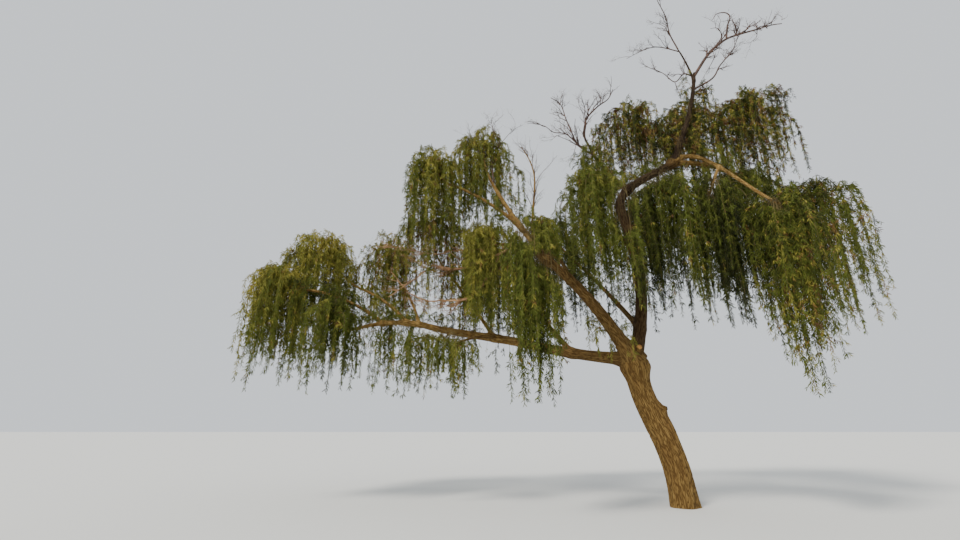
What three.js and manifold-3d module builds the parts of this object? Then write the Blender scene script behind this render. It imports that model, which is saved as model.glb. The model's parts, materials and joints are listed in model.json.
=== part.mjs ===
// A weeping willow: a leaning trunk, the boughs that fork from it, and masses of hanging twigs and leaves.
// Millimetres, +Z up, +X along the crown's length, origin in the middle of the trunk's flat cut at the ground.
import * as THREE from 'three';
import { mergeVertices } from 'three/addons/utils/BufferGeometryUtils.js';
import Module from 'manifold-3d';

const wasm = await Module();
wasm.setup();

// Driving dimensions of the trunk, which leans towards -X
const TRUNK = {
  tip: [-720, 0, 3190],
  bow: [0, 0, 0],
  sway: [95, 0, 0],
  girth: [545, 465],
  buried: 0.06,
  flare: { out: 0.12, height: 260, lobes: 5, lobed: 0.45 },
  swell: { out: 0.15, height: 1560, reach: 380, round: 0.6, lopsided: 0.4 },
  dome: { from: 0.9, depth: 0.72 },
};

// Stubs of lost limbs on the trunk: where they stand, which way they point, their length and girth
const STUBS = [
  { height: 2030, out: [1, -0.25, 0.3], length: 310, girth: [120, 95] },
  { height: 2960, out: [0.8, -0.5, 1], length: 400, girth: [130, 80] },
];

// Boughs, each from a place along its parent to its tip. The bow moves its middle, a sway moves its quarters
// to opposite sides, and a bough at 1 goes straight on from its parent's tip. Diameters are given at the
// root and at the tip, as its girth.
const BOUGHS = [
  { name: 'low_left_root', from: 'trunk', at: 0.95,
    tip: [-3000, 380, 3420], bow: [0, 0, -60], girth: [270, 220] },
  { name: 'mid_left_root', from: 'trunk', at: 0.93,
    tip: [-2850, -950, 5200], bow: [60, 0, 190], girth: [320, 170] },
  { name: 'leader_low', from: 'trunk', at: 0.94,
    tip: [-610, 0, 6750], bow: [330, 60, 0], girth: [290, 235] },
  { name: 'leader_mid', from: 'leader_low', at: 1,
    tip: [1020, 60, 8330], bow: [0, 0, 60], girth: [235, 170] },
  { name: 'leader_top', from: 'leader_mid', at: 0.95,
    tip: [1960, 0, 11250], bow: [130, 0, 0], girth: [160, 84] },
  { name: 'low_left_middle', from: 'low_left_root', at: 1,
    tip: [-5550, 600, 3930], bow: [0, 0, -50], girth: [220, 150] },
  { name: 'low_left_end', from: 'low_left_middle', at: 1,
    tip: [-7250, 300, 3800], bow: [0, 0, 110], girth: [150, 72] },
  { name: 'left_rise', from: 'low_left_end', at: 0.3,
    tip: [-7350, 950, 5000], bow: [60, 0, 70], girth: [100, 60] },
  { name: 'left_outer', from: 'low_left_end', at: 0.62,
    tip: [-8550, 0, 4700], bow: [0, 0, 180], girth: [90, 56] },
  { name: 'left_behind', from: 'low_left_end', at: 0.12,
    tip: [-6250, 1300, 5000], bow: [0, 0, 120], girth: [84, 50] },
  { name: 'left_open', from: 'low_left_middle', at: 0.35,
    tip: [-5150, 700, 5450], bow: [-60, 0, 130], girth: [96, 52] },
  { name: 'left_under', from: 'low_left_middle', at: 0.3,
    tip: [-4750, -150, 3380], bow: [0, 0, 90], girth: [80, 50] },
  { name: 'mid_left_rise', from: 'mid_left_root', at: 0.95,
    tip: [-3900, -500, 7250], bow: [-60, 0, 0], girth: [150, 84] },
  { name: 'mid_left_low', from: 'mid_left_root', at: 1,
    tip: [-3800, -550, 5650], bow: [0, 0, 40], girth: [170, 70] },
  { name: 'mid_left_far', from: 'mid_left_rise', at: 0.42,
    tip: [-4950, -450, 7300], bow: [0, 0, 120], girth: [90, 56] },
  { name: 'mid_left_front', from: 'mid_left_root', at: 0.72,
    tip: [-2900, -1650, 5000], bow: [60, 0, 150], girth: [90, 56] },
  { name: 'bare_snag', from: 'mid_left_rise', at: 0.2,
    tip: [-3230, -1050, 8000], bow: [160, -60, 0], sway: [-70, 40, 0], girth: [70, 22] },
  { name: 'high_left', from: 'leader_mid', at: 0.35,
    tip: [-1080, 600, 9100], bow: [-120, 60, 60], girth: [130, 72] },
  { name: 'top_left', from: 'leader_top', at: 0.22,
    tip: [450, 620, 9750], bow: [0, 0, 130], girth: [90, 56] },
  { name: 'top_back', from: 'leader_top', at: 0.36,
    tip: [2150, 1000, 10150], bow: [0, 0, 90], girth: [80, 52] },
  { name: 'top_right', from: 'leader_top', at: 0.16,
    tip: [2750, 200, 9650], bow: [0, 0, 140], girth: [110, 62] },
  { name: 'top_fork', from: 'leader_top', at: 0.9,
    tip: [1600, 0, 12150], bow: [40, 0, 0], girth: [60, 40] },
  { name: 'right_arch', from: 'leader_mid', at: 1,
    tip: [2560, -1250, 6350], bow: [0, 0, 60], girth: [120, 62] },
  { name: 'under_arch', from: 'right_arch', at: 0.5,
    tip: [1050, -1000, 6450], bow: [0, 0, 60], girth: [76, 50] },
  { name: 'right_out', from: 'leader_mid', at: 0.93,
    tip: [3700, 150, 7000], bow: [120, 0, 420], girth: [130, 66] },
  { name: 'right_inner', from: 'right_out', at: 0.5,
    tip: [2700, 500, 7250], bow: [0, 0, 130], girth: [80, 52] },
  { name: 'back_far', from: 'right_out', at: 0.3,
    tip: [2950, 1800, 7900], bow: [0, 0, 200], girth: [90, 54] },
  { name: 'back_left', from: 'low_left_root', at: 0.6,
    tip: [-3650, 1950, 5600], bow: [0, 150, 170], girth: [130, 60] },
  { name: 'back_middle', from: 'leader_low', at: 0.2,
    tip: [-1550, 2050, 6300], bow: [0, 150, 170], girth: [130, 60] },
  { name: 'back_right', from: 'leader_low', at: 0.55,
    tip: [850, 2100, 7300], bow: [0, 100, 200], girth: [120, 60] },
  { name: 'front_left', from: 'leader_low', at: 0.62,
    tip: [-1250, -850, 6150], bow: [0, 0, 130], girth: [96, 56] },
  { name: 'front_right', from: 'leader_low', at: 0.85,
    tip: [-60, -850, 6550], bow: [0, 0, 110], girth: [90, 54] },
];

// Masses of foliage, each on its bough's tip: the middle of its plan, half its width, its top and bottom
const LEAFY = [
  { name: 'left_tip', bough: 'left_outer', middle: [-9130, -50], spread: 900, top: 6100, bottom: 2550 },
  { name: 'left_inner', bough: 'left_rise', middle: [-8000, 1050], spread: 950, top: 6450, bottom: 3400 },
  { name: 'left_under', bough: 'low_left_end', middle: [-7750, -150], spread: 800, top: 4400, bottom: 2250 },
  { name: 'left_behind', bough: 'left_behind', middle: [-6600, 1550], spread: 850, top: 5800, bottom: 3500 },
  { name: 'left_open', bough: 'left_open', middle: [-5650, 450], spread: 1000, top: 6500, bottom: 4250 },
  { name: 'low_left', bough: 'left_under', middle: [-5150, -350], spread: 1000, top: 3620, bottom: 2000 },
  { name: 'high_left_outer', bough: 'mid_left_far', middle: [-5450, -350], spread: 800, top: 8600, bottom: 5450 },
  { name: 'high_left', bough: 'mid_left_rise', middle: [-4100, 250], spread: 1000, top: 9420, bottom: 6100 },
  { name: 'middle_left', bough: 'mid_left_low', middle: [-4100, -300], spread: 800, top: 6200, bottom: 3150 },
  { name: 'front_left', bough: 'mid_left_front', middle: [-3120, -2000], spread: 720, top: 5600, bottom: 2050 },
  { name: 'front_middle', bough: 'front_left', middle: [-1580, -1100], spread: 1050, top: 7500, bottom: 3250 },
  { name: 'front_centre', bough: 'front_right', middle: [60, -1100], spread: 850, top: 7250, bottom: 3350 },
  { name: 'under_arch', bough: 'under_arch', middle: [1080, -1350], spread: 720, top: 6950, bottom: 3300 },
  { name: 'top_left', bough: 'top_left', middle: [-20, 750], spread: 1080, top: 10900, bottom: 7500 },
  { name: 'top_back', bough: 'top_back', middle: [2400, 1750], spread: 1120, top: 11500, bottom: 7900 },
  { name: 'top_right', bough: 'top_right', middle: [3650, 250], spread: 1250, top: 11100, bottom: 7500 },
  { name: 'right_inner', bough: 'right_inner', middle: [2850, 350], spread: 1100, top: 7900, bottom: 4300 },
  { name: 'right_tip', bough: 'right_out', middle: [4200, -200], spread: 1150, top: 7400, bottom: 3400 },
  { name: 'front_right', bough: 'right_arch', middle: [1900, -2050], spread: 780, top: 6700, bottom: 2050 },
  { name: 'back_left', bough: 'back_left', middle: [-4150, 2700], spread: 1100, top: 7000, bottom: 3700 },
  { name: 'back_middle', bough: 'back_middle', middle: [-1850, 2950], spread: 1150, top: 7900, bottom: 4300 },
  { name: 'back_right', bough: 'back_right', middle: [950, 2950], spread: 1200, top: 8800, bottom: 4600 },
  { name: 'back_far_right', bough: 'back_far', middle: [3350, 2500], spread: 1150, top: 8500, bottom: 4500 },
];

// Dead tops with no leaves, given the same way
const DEAD = [
  { name: 'left', bough: 'high_left', middle: [-1450, 600], spread: 1250, top: 11150, bottom: 9000 },
  { name: 'top_left', bough: 'top_fork', middle: [1050, 0], spread: 1050, top: 14450, bottom: 11500 },
  { name: 'top_right', bough: 'leader_top', middle: [3250, 0], spread: 1550, top: 14000, bottom: 11200 },
];

// Facets: rings along a limb and sides round it. Boughs over the stout girth count as large, and their
// rings crowd a little towards the root.
const FACETS = {
  trunk: { rings: 10, sides: 12 },
  large: { rings: 6, sides: 7 },
  small: { rings: 4, sides: 5 },
  stout: 150,
  crowded: 1.15,
  stub: 7,
};

// A side bough's root swells by this share, and its radius falls back over about one root diameter
const COLLAR = 0.35;

// How far a bow bends the two ends of a bough's centre line, so that its middle moves by the whole bow
const BOW_ENDS = 4;

// Form of a mass: its dome as a share of its height or of its spread, whichever is lower, and how much
// heights count when the space between two masses is shared out
const MASS = { domeOfHeight: 0.45, domeOfSpread: 1.2, squat: 0.5 };

// The stem of a mass: its root against its bough's tip, how straight it sets out, how far under the dome it ends
const STEM = { sides: 4, stations: 4, root: 0.92, tip: 24, straight: 0.45, under: 0.1 };

// Twigs: radii, share of the spread they reach, where they leave the stem, and shares of the mass's height
// for the top of their arch, their shoulder and the ragged ends of their fall
const TWIG = {
  count: 6,
  tries: 28,
  sides: 3,
  arch: 3,
  root: 14,
  foot: 7,
  reach: 0.95,
  leaves: 0.45,
  apex: 0.12,
  shoulder: 0.12,
  drop: 0.05,
  ragged: 0.3,
  step: 100,
  least: 500,
};

// Sprays of leaves down a twig: each points down, tilted out of the twig's face and sunk into it
const SPRAY = {
  length: 1100,
  width: 230,
  thick: 36,
  waist: 0.5,
  spacing: 760,
  first: 0.25,
  tilt: 0.28,
  sunk: 3,
  turns: 3,
};

// Dead twigs: radius at the root and the share it loses, how they spread and rise, and their forks
const DEAD_TWIG = {
  count: 7,
  sides: 3,
  stations: 3,
  root: 26,
  thins: 0.7,
  straight: 0.4,
  reach: 0.92,
  rise: [0.25, 0.95],
  level: 0.8,
  fork: { girth: 0.6, out: 0.6, up: 350 },
};

// Clearances: touching pieces, limbs cut by limbs, and the edge of a mass's own space
const CLEAR = 0.3;
const CUT_CLEAR = 0.4;
const LIMB_CLEAR = 12;
const EDGE_CLEAR = 35;

// Steps that spread a row of places evenly: one round a stem, one along it, and a pair over a disc
const GOLDEN_ANGLE = Math.PI * (3 - Math.sqrt(5));
const GOLDEN_STEP = 0.618;
const DISC_STEPS = [0.7549, 0.5698];

const UP = new THREE.Vector3(0, 0, 1);
const vec = (place) => new THREE.Vector3(...place);
const fract = (x) => x - Math.floor(x);

// One repeatable random number between 0 and 1 for each mass, twig and draw
function chance(mass, twig, draw) {
  return fract(Math.sin(mass * 12.9898 + twig * 78.233 + draw * 37.719) * 43758.5453);
}

// Closed solids from three.js shapes, and back
function solidOf(geometry) {
  const mesh = new wasm.Mesh({
    numProp: 3,
    vertProperties: new Float32Array(geometry.attributes.position.array),
    triVerts: new Uint32Array(geometry.index.array),
  });
  return new wasm.Manifold(mesh);
}

function geometryOf(solid) {
  const mesh = solid.getMesh();
  const geometry = new THREE.BufferGeometry();
  geometry.setAttribute('position', new THREE.BufferAttribute(new Float32Array(mesh.vertProperties), 3));
  geometry.setIndex(new THREE.BufferAttribute(new Uint32Array(mesh.triVerts), 1));
  geometry.computeVertexNormals();
  return geometry;
}

function welded(geometry) {
  geometry.deleteAttribute('normal');
  geometry.deleteAttribute('uv');
  return mergeVertices(geometry);
}

// The largest body of a solid: loose scraps go, and a hollow that is sealed in gets filled
function mainBody(solid) {
  const bodies = solid.decompose();
  return bodies.reduce((best, body) => (body.volume() > best.volume() ? body : best));
}

// Level direction across a line that runs from one place to another
function levelSide(from, to) {
  const side = new THREE.Vector3().crossVectors(UP, to.clone().sub(from));
  return side.length() > 1 ? side.normalize() : new THREE.Vector3(0, 1, 0);
}

// A cylinder bent along stations, each with its place, its direction and its radius.
// The radius may change round the limb, and a pointed one ends in a single point.
function bentTube(stations, side, sides, pointed = false) {
  const rings = stations.length - 1;
  const shape = welded(new THREE.CylinderGeometry(pointed ? 0 : 1, 1, 1, sides, rings));
  const spots = shape.attributes.position;
  for (let i = 0; i < spots.count; i++) {
    const station = stations[Math.round((spots.getY(i) + 0.5) * rings)];
    const angle = Math.atan2(spots.getZ(i), spots.getX(i));
    const rim = Math.hypot(spots.getX(i), spots.getZ(i)) > 1e-6;
    const across = side.clone().addScaledVector(station.along, -side.dot(station.along)).normalize();
    const third = new THREE.Vector3().crossVectors(across, station.along);
    const radius = rim ? station.radius(angle) : 0;
    const spot = station.place.clone()
      .addScaledVector(across, radius * Math.cos(angle))
      .addScaledVector(third, radius * Math.sin(angle));
    spots.setXYZ(i, spot.x, spot.y, spot.z);
  }
  return solidOf(shape);
}

// A limb's centre line: a curve that bows at its middle, with a sway to one side and the other
class CentreLine extends THREE.Curve {
  constructor(root, leave, tip, arrive, sway) {
    super();
    const start = root.clone().addScaledVector(leave, 1 / 3);
    const end = tip.clone().addScaledVector(arrive, -1 / 3);
    this.bowed = new THREE.CubicBezierCurve3(root, start, end, tip);
    this.sway = sway;
  }

  getPoint(s, spot = new THREE.Vector3()) {
    return this.bowed.getPoint(s, spot).addScaledVector(this.sway, Math.sin(2 * Math.PI * s));
  }
}

// A limb: its centre line and its radius, which swells at the root of a side bough
function limbOf(row, parent) {
  const goesOn = row.at === 1;
  const root = parent ? parent.line.getPoint(row.at) : vec([0, 0, 0]);
  if (goesOn) root.addScaledVector(parent.line.getTangent(1), CLEAR);
  const tip = vec(row.tip);
  const bow = vec(row.bow);
  const chord = tip.clone().sub(root);
  const leave = goesOn
    ? parent.line.getTangent(1).multiplyScalar(chord.length())
    : chord.clone().addScaledVector(bow, BOW_ENDS);
  const arrive = chord.clone().addScaledVector(bow, -BOW_ENDS);
  const line = new CentreLine(root, leave, tip, arrive, vec(row.sway ?? [0, 0, 0]));
  const collar = parent && !goesOn ? COLLAR : 0;
  const radius = (s) => {
    const taper = THREE.MathUtils.lerp(row.girth[0], row.girth[1], s) / 2;
    return taper * (1 + collar * Math.exp((-s * chord.length()) / row.girth[0]));
  };
  return { name: row.name, line, radius, side: levelSide(root, tip) };
}

// The trunk's radius also has a lobed flare at the ground, a swelling and a domed top
function trunkRadius(limb, s, angle) {
  const { flare, swell, dome } = TRUNK;
  const height = s * TRUNK.tip[2];
  const flared = flare.out * Math.exp(-height / flare.height) * (1 + flare.lobed * Math.cos(flare.lobes * angle));
  const near = (height - swell.height) / swell.reach;
  const swollen = swell.out * Math.exp(-near * near) * (swell.round - swell.lopsided * Math.sin(angle));
  const above = Math.max(0, (s - dome.from) / (1 - dome.from));
  return limb.radius(Math.max(0, s)) * (1 + flared + swollen) * Math.sqrt(1 - dome.depth * above * above);
}

function trunkSolid(limb, grow) {
  const { rings, sides } = FACETS.trunk;
  const stations = [];
  for (let i = 0; i <= rings; i++) {
    const s = i === 0 ? -TRUNK.buried : (i - 1) / (rings - 1);
    const along = limb.line.getTangent(Math.max(0, s));
    const place = limb.line.getPoint(Math.max(0, s));
    if (s < 0) place.addScaledVector(along, s * TRUNK.tip[2]);
    if (s === 1) place.addScaledVector(along, grow);
    stations.push({ place, along, radius: (angle) => trunkRadius(limb, s, angle) + grow });
  }
  let solid = bentTube(stations, limb.side, sides);
  for (const stub of STUBS) solid = solid.add(stubSolid(limb, stub, grow));
  return solid.trimByPlane([0, 0, 1], 0);
}

function stubSolid(limb, stub, grow) {
  const out = vec(stub.out).normalize();
  const root = limb.line.getPoint(stub.height / TRUNK.tip[2]);
  const stations = [0, 0.6, 1].map((s) => ({
    place: root.clone().addScaledVector(out, s * stub.length),
    along: out,
    radius: () => THREE.MathUtils.lerp(stub.girth[0], stub.girth[1], s) / 2 + grow,
  }));
  return bentTube(stations, levelSide(root, root.clone().add(out)), FACETS.stub);
}

// A bough's tube has more sides and rings where it is thick and long
function boughSolid(limb, row, grow) {
  const { rings, sides } = row.girth[0] > FACETS.stout ? FACETS.large : FACETS.small;
  const stations = [];
  for (let i = 0; i <= rings; i++) {
    const s = (i / rings) ** FACETS.crowded;
    const radius = limb.radius(s) + grow;
    const place = limb.line.getPoint(s);
    const along = limb.line.getTangent(s);
    if (s === 1) place.addScaledVector(along, 0.6 * grow);
    if (s === 0) place.addScaledVector(along, -0.9 * grow);
    stations.push({ place, along, radius: () => radius });
  }
  return bentTube(stations, limb.side, sides);
}

// Shortest way between two straight pieces, each a pair of places
function between(a, b, c, d) {
  const u = b.clone().sub(a);
  const v = d.clone().sub(c);
  const w = a.clone().sub(c);
  const [uu, uv, vv, uw, vw] = [u.dot(u), u.dot(v), v.dot(v), u.dot(w), v.dot(w)];
  const flat = uu * vv - uv * uv;
  let s = flat > 1e-9 * uu * vv ? THREE.MathUtils.clamp((uv * vw - vv * uw) / flat, 0, 1) : 0;
  const t = THREE.MathUtils.clamp((uv * s + vw) / vv, 0, 1);
  s = THREE.MathUtils.clamp((uv * t - uw) / uu, 0, 1);
  return a.clone().addScaledVector(u, s).distanceTo(c.clone().addScaledVector(v, t));
}

// Straight pieces that stand for a limb when something has to keep clear of it
function capsulesOf(limb) {
  const pieces = 10;
  const spare = limb.name === 'trunk' ? 1.3 : 1;
  const capsules = [];
  for (let i = 0; i < pieces; i++) {
    capsules.push({
      from: limb.line.getPoint(i / pieces),
      to: limb.line.getPoint((i + 1) / pieces),
      radius: limb.radius(i / pieces) * spare,
    });
  }
  return capsules;
}

// A mass's own space: a dome over a curtain, less what lies nearer to another mass
function spaceOf(mass) {
  const height = mass.top - mass.bottom;
  const core = new THREE.Vector3(mass.middle[0], mass.middle[1], (MASS.squat * (mass.top + mass.bottom)) / 2);
  const dome = Math.min(MASS.domeOfHeight * height, MASS.domeOfSpread * mass.spread);
  return { ...mass, core, dome };
}

function domeHeight(space, away) {
  return space.top - space.dome * (1 - Math.sqrt(Math.max(0, 1 - away * away)));
}

function inSpace(space, spaces, spot, spare) {
  const away = Math.hypot(spot.x - space.middle[0], spot.y - space.middle[1]) / space.spread;
  if (away > 1 || spot.z < space.bottom || spot.z > domeHeight(space, away)) return false;
  const squat = new THREE.Vector3(spot.x, spot.y, MASS.squat * spot.z);
  const own = squat.distanceToSquared(space.core) - space.spread ** 2;
  return spaces.every((other) => {
    if (other === space) return true;
    const theirs = squat.distanceToSquared(other.core) - other.spread ** 2;
    return (theirs - own) / (2 * space.core.distanceTo(other.core)) > EDGE_CLEAR + spare;
  });
}

function clearOfLimbs(capsules, from, to, spare) {
  return capsules.every((limb) => between(from, to, limb.from, limb.to) > limb.radius + LIMB_CLEAR + spare);
}

// The stem goes on from its bough's tip and rises to the middle of the mass, under its top
function stemOf(space, limb) {
  const heading = limb.line.getTangent(1);
  const root = limb.line.getPoint(1).addScaledVector(heading, CLEAR);
  const end = new THREE.Vector3(space.middle[0], space.middle[1], space.top - STEM.under * space.dome);
  const reach = root.distanceTo(end) * STEM.straight;
  const line = new THREE.QuadraticBezierCurve3(root, root.clone().addScaledVector(heading, reach), end);
  const radius = (s) => THREE.MathUtils.lerp(limb.radius(1) * STEM.root, STEM.tip, s);
  return { line, radius, side: levelSide(root, end) };
}

function stemSolid(stem) {
  const stations = [];
  for (let i = 0; i <= STEM.stations; i++) {
    const s = i / STEM.stations;
    stations.push({
      place: stem.line.getPoint(s),
      along: stem.line.getTangent(s),
      radius: () => stem.radius(s),
    });
  }
  return bentTube(stations, stem.side, STEM.sides);
}

// Where the twig of this number leaves the stem, where it hangs and how low it reaches
function twigPlan(space, stem, number, index) {
  const away = Math.sqrt(fract(0.35 + index * DISC_STEPS[0])) * TWIG.reach;
  const bearing = 2 * Math.PI * fract(number * 0.37 + index * DISC_STEPS[1]);
  const x = space.middle[0] + space.spread * away * Math.cos(bearing);
  const y = space.middle[1] + space.spread * away * Math.sin(bearing);
  const root = stem.line.getPoint(THREE.MathUtils.lerp(TWIG.leaves, 1, fract(index * GOLDEN_STEP + 0.3)));
  const height = space.top - space.bottom;
  const dome = domeHeight(space, away);
  const shoulder = Math.min(dome - TWIG.shoulder * height, root.z - TWIG.drop * height);
  return {
    root,
    apex: new THREE.Vector3(x, y, dome + TWIG.apex * height),
    shoulder: new THREE.Vector3(x, y, shoulder),
    lowest: space.bottom + TWIG.ragged * height * chance(number, index, 2) ** 2,
  };
}

// A twig arches over to where it hangs and falls straight from there
function twigRoute(plan) {
  const arch = new THREE.QuadraticBezierCurve3(plan.root, plan.apex, plan.shoulder);
  const stations = [];
  for (let i = 0; i <= TWIG.arch; i++) {
    stations.push({ place: arch.getPoint(i / TWIG.arch), along: arch.getTangent(i / TWIG.arch) });
  }
  const foot = plan.shoulder.clone().setZ(plan.lowest);
  stations.push({ place: foot, along: new THREE.Vector3(0, 0, -1) });
  return stations;
}

// The part of a twig that stays in its space, clear of the limbs and of the mass's other twigs and sprays.
// Its fall may end early, and near the stem it may run into the other twigs.
function clearRoute(route, space, spaces, limbs, taken) {
  for (let i = 1; i < route.length - 1; i++) {
    const others = i > 1 ? [...limbs, ...taken] : limbs;
    if (!inSpace(space, spaces, route[i].place, TWIG.root)) return null;
    if (!clearOfLimbs(others, route[i - 1].place, route[i].place, TWIG.root)) return null;
  }
  const shoulder = route[route.length - 2].place;
  const foot = route[route.length - 1];
  let low = shoulder.z;
  while (low - TWIG.step >= foot.place.z) {
    const from = shoulder.clone().setZ(low);
    const to = shoulder.clone().setZ(low - TWIG.step);
    if (!inSpace(space, spaces, to, TWIG.root)) break;
    if (!clearOfLimbs([...limbs, ...taken], from, to, TWIG.root)) break;
    low -= TWIG.step;
  }
  if (shoulder.z - low < TWIG.least) return null;
  foot.place.setZ(low);
  return route;
}

// Outward direction of one of the three sides of a twig's fall
function twigFace(route, number) {
  const side = levelSide(route[0].place, route[route.length - 1].place);
  const third = new THREE.Vector3().crossVectors(side, route[route.length - 1].along);
  const angle = (2 * Math.PI * ((number % TWIG.sides) + 0.25)) / TWIG.sides;
  return side.multiplyScalar(Math.cos(angle)).addScaledVector(third, Math.sin(angle));
}

function twigCapsules(route) {
  const pieces = route.slice(2).map((station, i) => [route[i + 1].place, station.place]);
  return pieces.map(([from, to]) => ({ from, to, radius: TWIG.root }));
}

function twigSolid(route) {
  const last = route.length - 1;
  const stations = route.map((station, i) => {
    const radius = THREE.MathUtils.lerp(TWIG.root, TWIG.foot, i / last);
    return { ...station, radius: () => radius };
  });
  return bentTube(stations, levelSide(route[0].place, route[last].place), TWIG.sides, true);
}

// One spray of leaves: an octahedron drawn out along its way, widest before its middle
const OCTAHEDRON = welded(new THREE.OctahedronGeometry(1, 0));

function sprayCorners(root, way, flat, length) {
  const third = new THREE.Vector3().crossVectors(way, flat);
  const spots = OCTAHEDRON.attributes.position;
  const corners = [];
  for (let i = 0; i < spots.count; i++) {
    const y = spots.getY(i);
    const along = y > 0.5 ? length : y < -0.5 ? 0 : SPRAY.waist * length;
    corners.push(root.clone()
      .addScaledVector(way, along)
      .addScaledVector(flat, (spots.getX(i) * SPRAY.width) / 2)
      .addScaledVector(third, (-spots.getZ(i) * SPRAY.thick) / 2));
  }
  return corners;
}

function spraySolid(corners) {
  const shape = OCTAHEDRON.clone();
  corners.forEach((corner, i) => shape.attributes.position.setXYZ(i, corner.x, corner.y, corner.z));
  return solidOf(shape);
}

// Sprays down a twig's fall, each turned from the last and rooted in the twig
function spraysOn(route, number, index, space, spaces, limbs, taken) {
  const shoulder = route[route.length - 2].place;
  const foot = route[route.length - 1].place;
  const sprays = [];
  const fall = shoulder.z - foot.z;
  const count = Math.max(1, Math.round(fall / SPRAY.spacing));
  for (let j = 0; j < count; j++) {
    for (let turn = 0; turn < SPRAY.turns; turn++) {
      const out = twigFace(route, index + j + turn);
      const way = new THREE.Vector3(0, 0, -1).addScaledVector(out, SPRAY.tilt).normalize();
      const flat = new THREE.Vector3().crossVectors(UP, out);
      const root = shoulder.clone().setZ(shoulder.z - (fall * (j + SPRAY.first)) / count);
      root.addScaledVector(way, -SPRAY.sunk);
      const length = Math.min(SPRAY.length, root.z - space.bottom);
      const corners = sprayCorners(root, way, flat, length);
      const end = root.clone().addScaledVector(way, length);
      const inside = corners.every((corner) => inSpace(space, spaces, corner, 0));
      if (!inside || !clearOfLimbs([...limbs, ...taken], root, end, SPRAY.width / 2)) continue;
      sprays.push({ solid: spraySolid(corners), from: root, to: end, radius: SPRAY.width / 2 });
      break;
    }
  }
  return sprays;
}

// A leafy mass: stem, twigs and sprays in one body
function leafySolid(number, limb, spaces, limbs) {
  const space = spaces[number];
  const stem = stemOf(space, limb);
  const pieces = [stemSolid(stem)];
  const taken = [];
  let placed = 0;
  for (let index = 0; index < TWIG.tries && placed < TWIG.count; index++) {
    const plan = twigPlan(space, stem, number, index);
    const route = clearRoute(twigRoute(plan), space, spaces, limbs, taken);
    if (!route) continue;
    const sprays = spraysOn(route, number, index, space, spaces, limbs, taken);
    pieces.push(twigSolid(route), ...sprays.map((spray) => spray.solid));
    taken.push(...sprays, ...twigCapsules(route));
    placed += 1;
  }
  return mainBody(wasm.Manifold.union(pieces));
}

// A dead top: bare twigs that fork upwards and outwards from the stem
function deadRoute(root, heading, tip) {
  const reach = root.distanceTo(tip) * DEAD_TWIG.straight;
  const line = new THREE.QuadraticBezierCurve3(root, root.clone().addScaledVector(heading, reach), tip);
  const stations = [];
  for (let i = 0; i <= DEAD_TWIG.stations; i++) {
    const s = i / DEAD_TWIG.stations;
    stations.push({ place: line.getPoint(s), along: line.getTangent(s) });
  }
  return stations;
}

function deadTwig(route, thick) {
  const last = route.length - 1;
  const stations = route.map((station, i) => {
    const radius = thick * (1 - (DEAD_TWIG.thins * i) / last);
    return { ...station, radius: () => radius };
  });
  return bentTube(stations, levelSide(route[0].place, route[last].place), DEAD_TWIG.sides, true);
}

function deadSolid(number, limb, spaces, capsules) {
  const space = spaces[number];
  const stem = stemOf(space, limb);
  const pieces = [stemSolid(stem)];
  for (let index = 0; index < DEAD_TWIG.count; index++) {
    const s = 0.1 + (0.85 * index) / DEAD_TWIG.count;
    const root = stem.line.getPoint(s);
    const bearing = index * GOLDEN_ANGLE + chance(number, index, 1);
    const rise = THREE.MathUtils.lerp(...DEAD_TWIG.rise, chance(number, index, 2));
    const level = DEAD_TWIG.reach * Math.sqrt(1 - rise * rise * DEAD_TWIG.level);
    const tip = new THREE.Vector3(
      space.middle[0] + space.spread * level * Math.cos(bearing),
      space.middle[1] + space.spread * level * Math.sin(bearing),
      THREE.MathUtils.lerp(Math.max(root.z, space.bottom), space.top, rise),
    );
    const route = deadRoute(root, stem.line.getTangent(s), tip);
    const free = route.slice(1).every((station) => inSpace(space, spaces, station.place, DEAD_TWIG.root));
    const last = route.length - 1;
    const clear = route.slice(2).every((station, i) =>
      clearOfLimbs(capsules, route[i + 1].place, station.place, DEAD_TWIG.root));
    if (!free || !clear) continue;
    pieces.push(deadTwig(route, DEAD_TWIG.root));
    const { girth, out, up } = DEAD_TWIG.fork;
    const fork = route[1].place;
    const forkTip = fork.clone().lerp(route[last].place, out).addScaledVector(UP, up);
    if (inSpace(space, spaces, forkTip, DEAD_TWIG.root)) {
      pieces.push(deadTwig(deadRoute(fork, UP, forkTip), DEAD_TWIG.root * girth));
    }
  }
  return mainBody(wasm.Manifold.union(pieces));
}

// Finishes in plain colours
const FINISH = {
  bark: { color: 0x6b5440, roughness: 0.95, metalness: 0 },
  foliage: { color: 0x6c7a2c, roughness: 0.8, metalness: 0 },
  deadwood: { color: 0x4a382c, roughness: 0.95, metalness: 0 },
};

function named(name, solid, finish) {
  const mesh = new THREE.Mesh(geometryOf(solid), new THREE.MeshStandardMaterial(FINISH[finish]));
  mesh.name = name;
  return mesh;
}

// The tree, from the trunk out
const willow = new THREE.Group();
const limbs = new Map();
const grown = new Map();

const trunk = limbOf({ name: 'trunk', ...TRUNK }, null);
limbs.set('trunk', trunk);
grown.set('trunk', trunkSolid(trunk, CUT_CLEAR));
willow.add(named('trunk', trunkSolid(trunk, 0), 'bark'));

for (const row of BOUGHS) {
  const limb = limbOf(row, limbs.get(row.from));
  let solid = boughSolid(limb, row, 0);
  for (const other of grown.values()) solid = solid.subtract(other);
  limbs.set(row.name, limb);
  grown.set(row.name, boughSolid(limb, row, CUT_CLEAR));
  willow.add(named(row.name, mainBody(solid), 'bark'));
}

const capsules = [...limbs.values()].flatMap(capsulesOf);
const spaces = [...LEAFY, ...DEAD].map(spaceOf);

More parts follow.
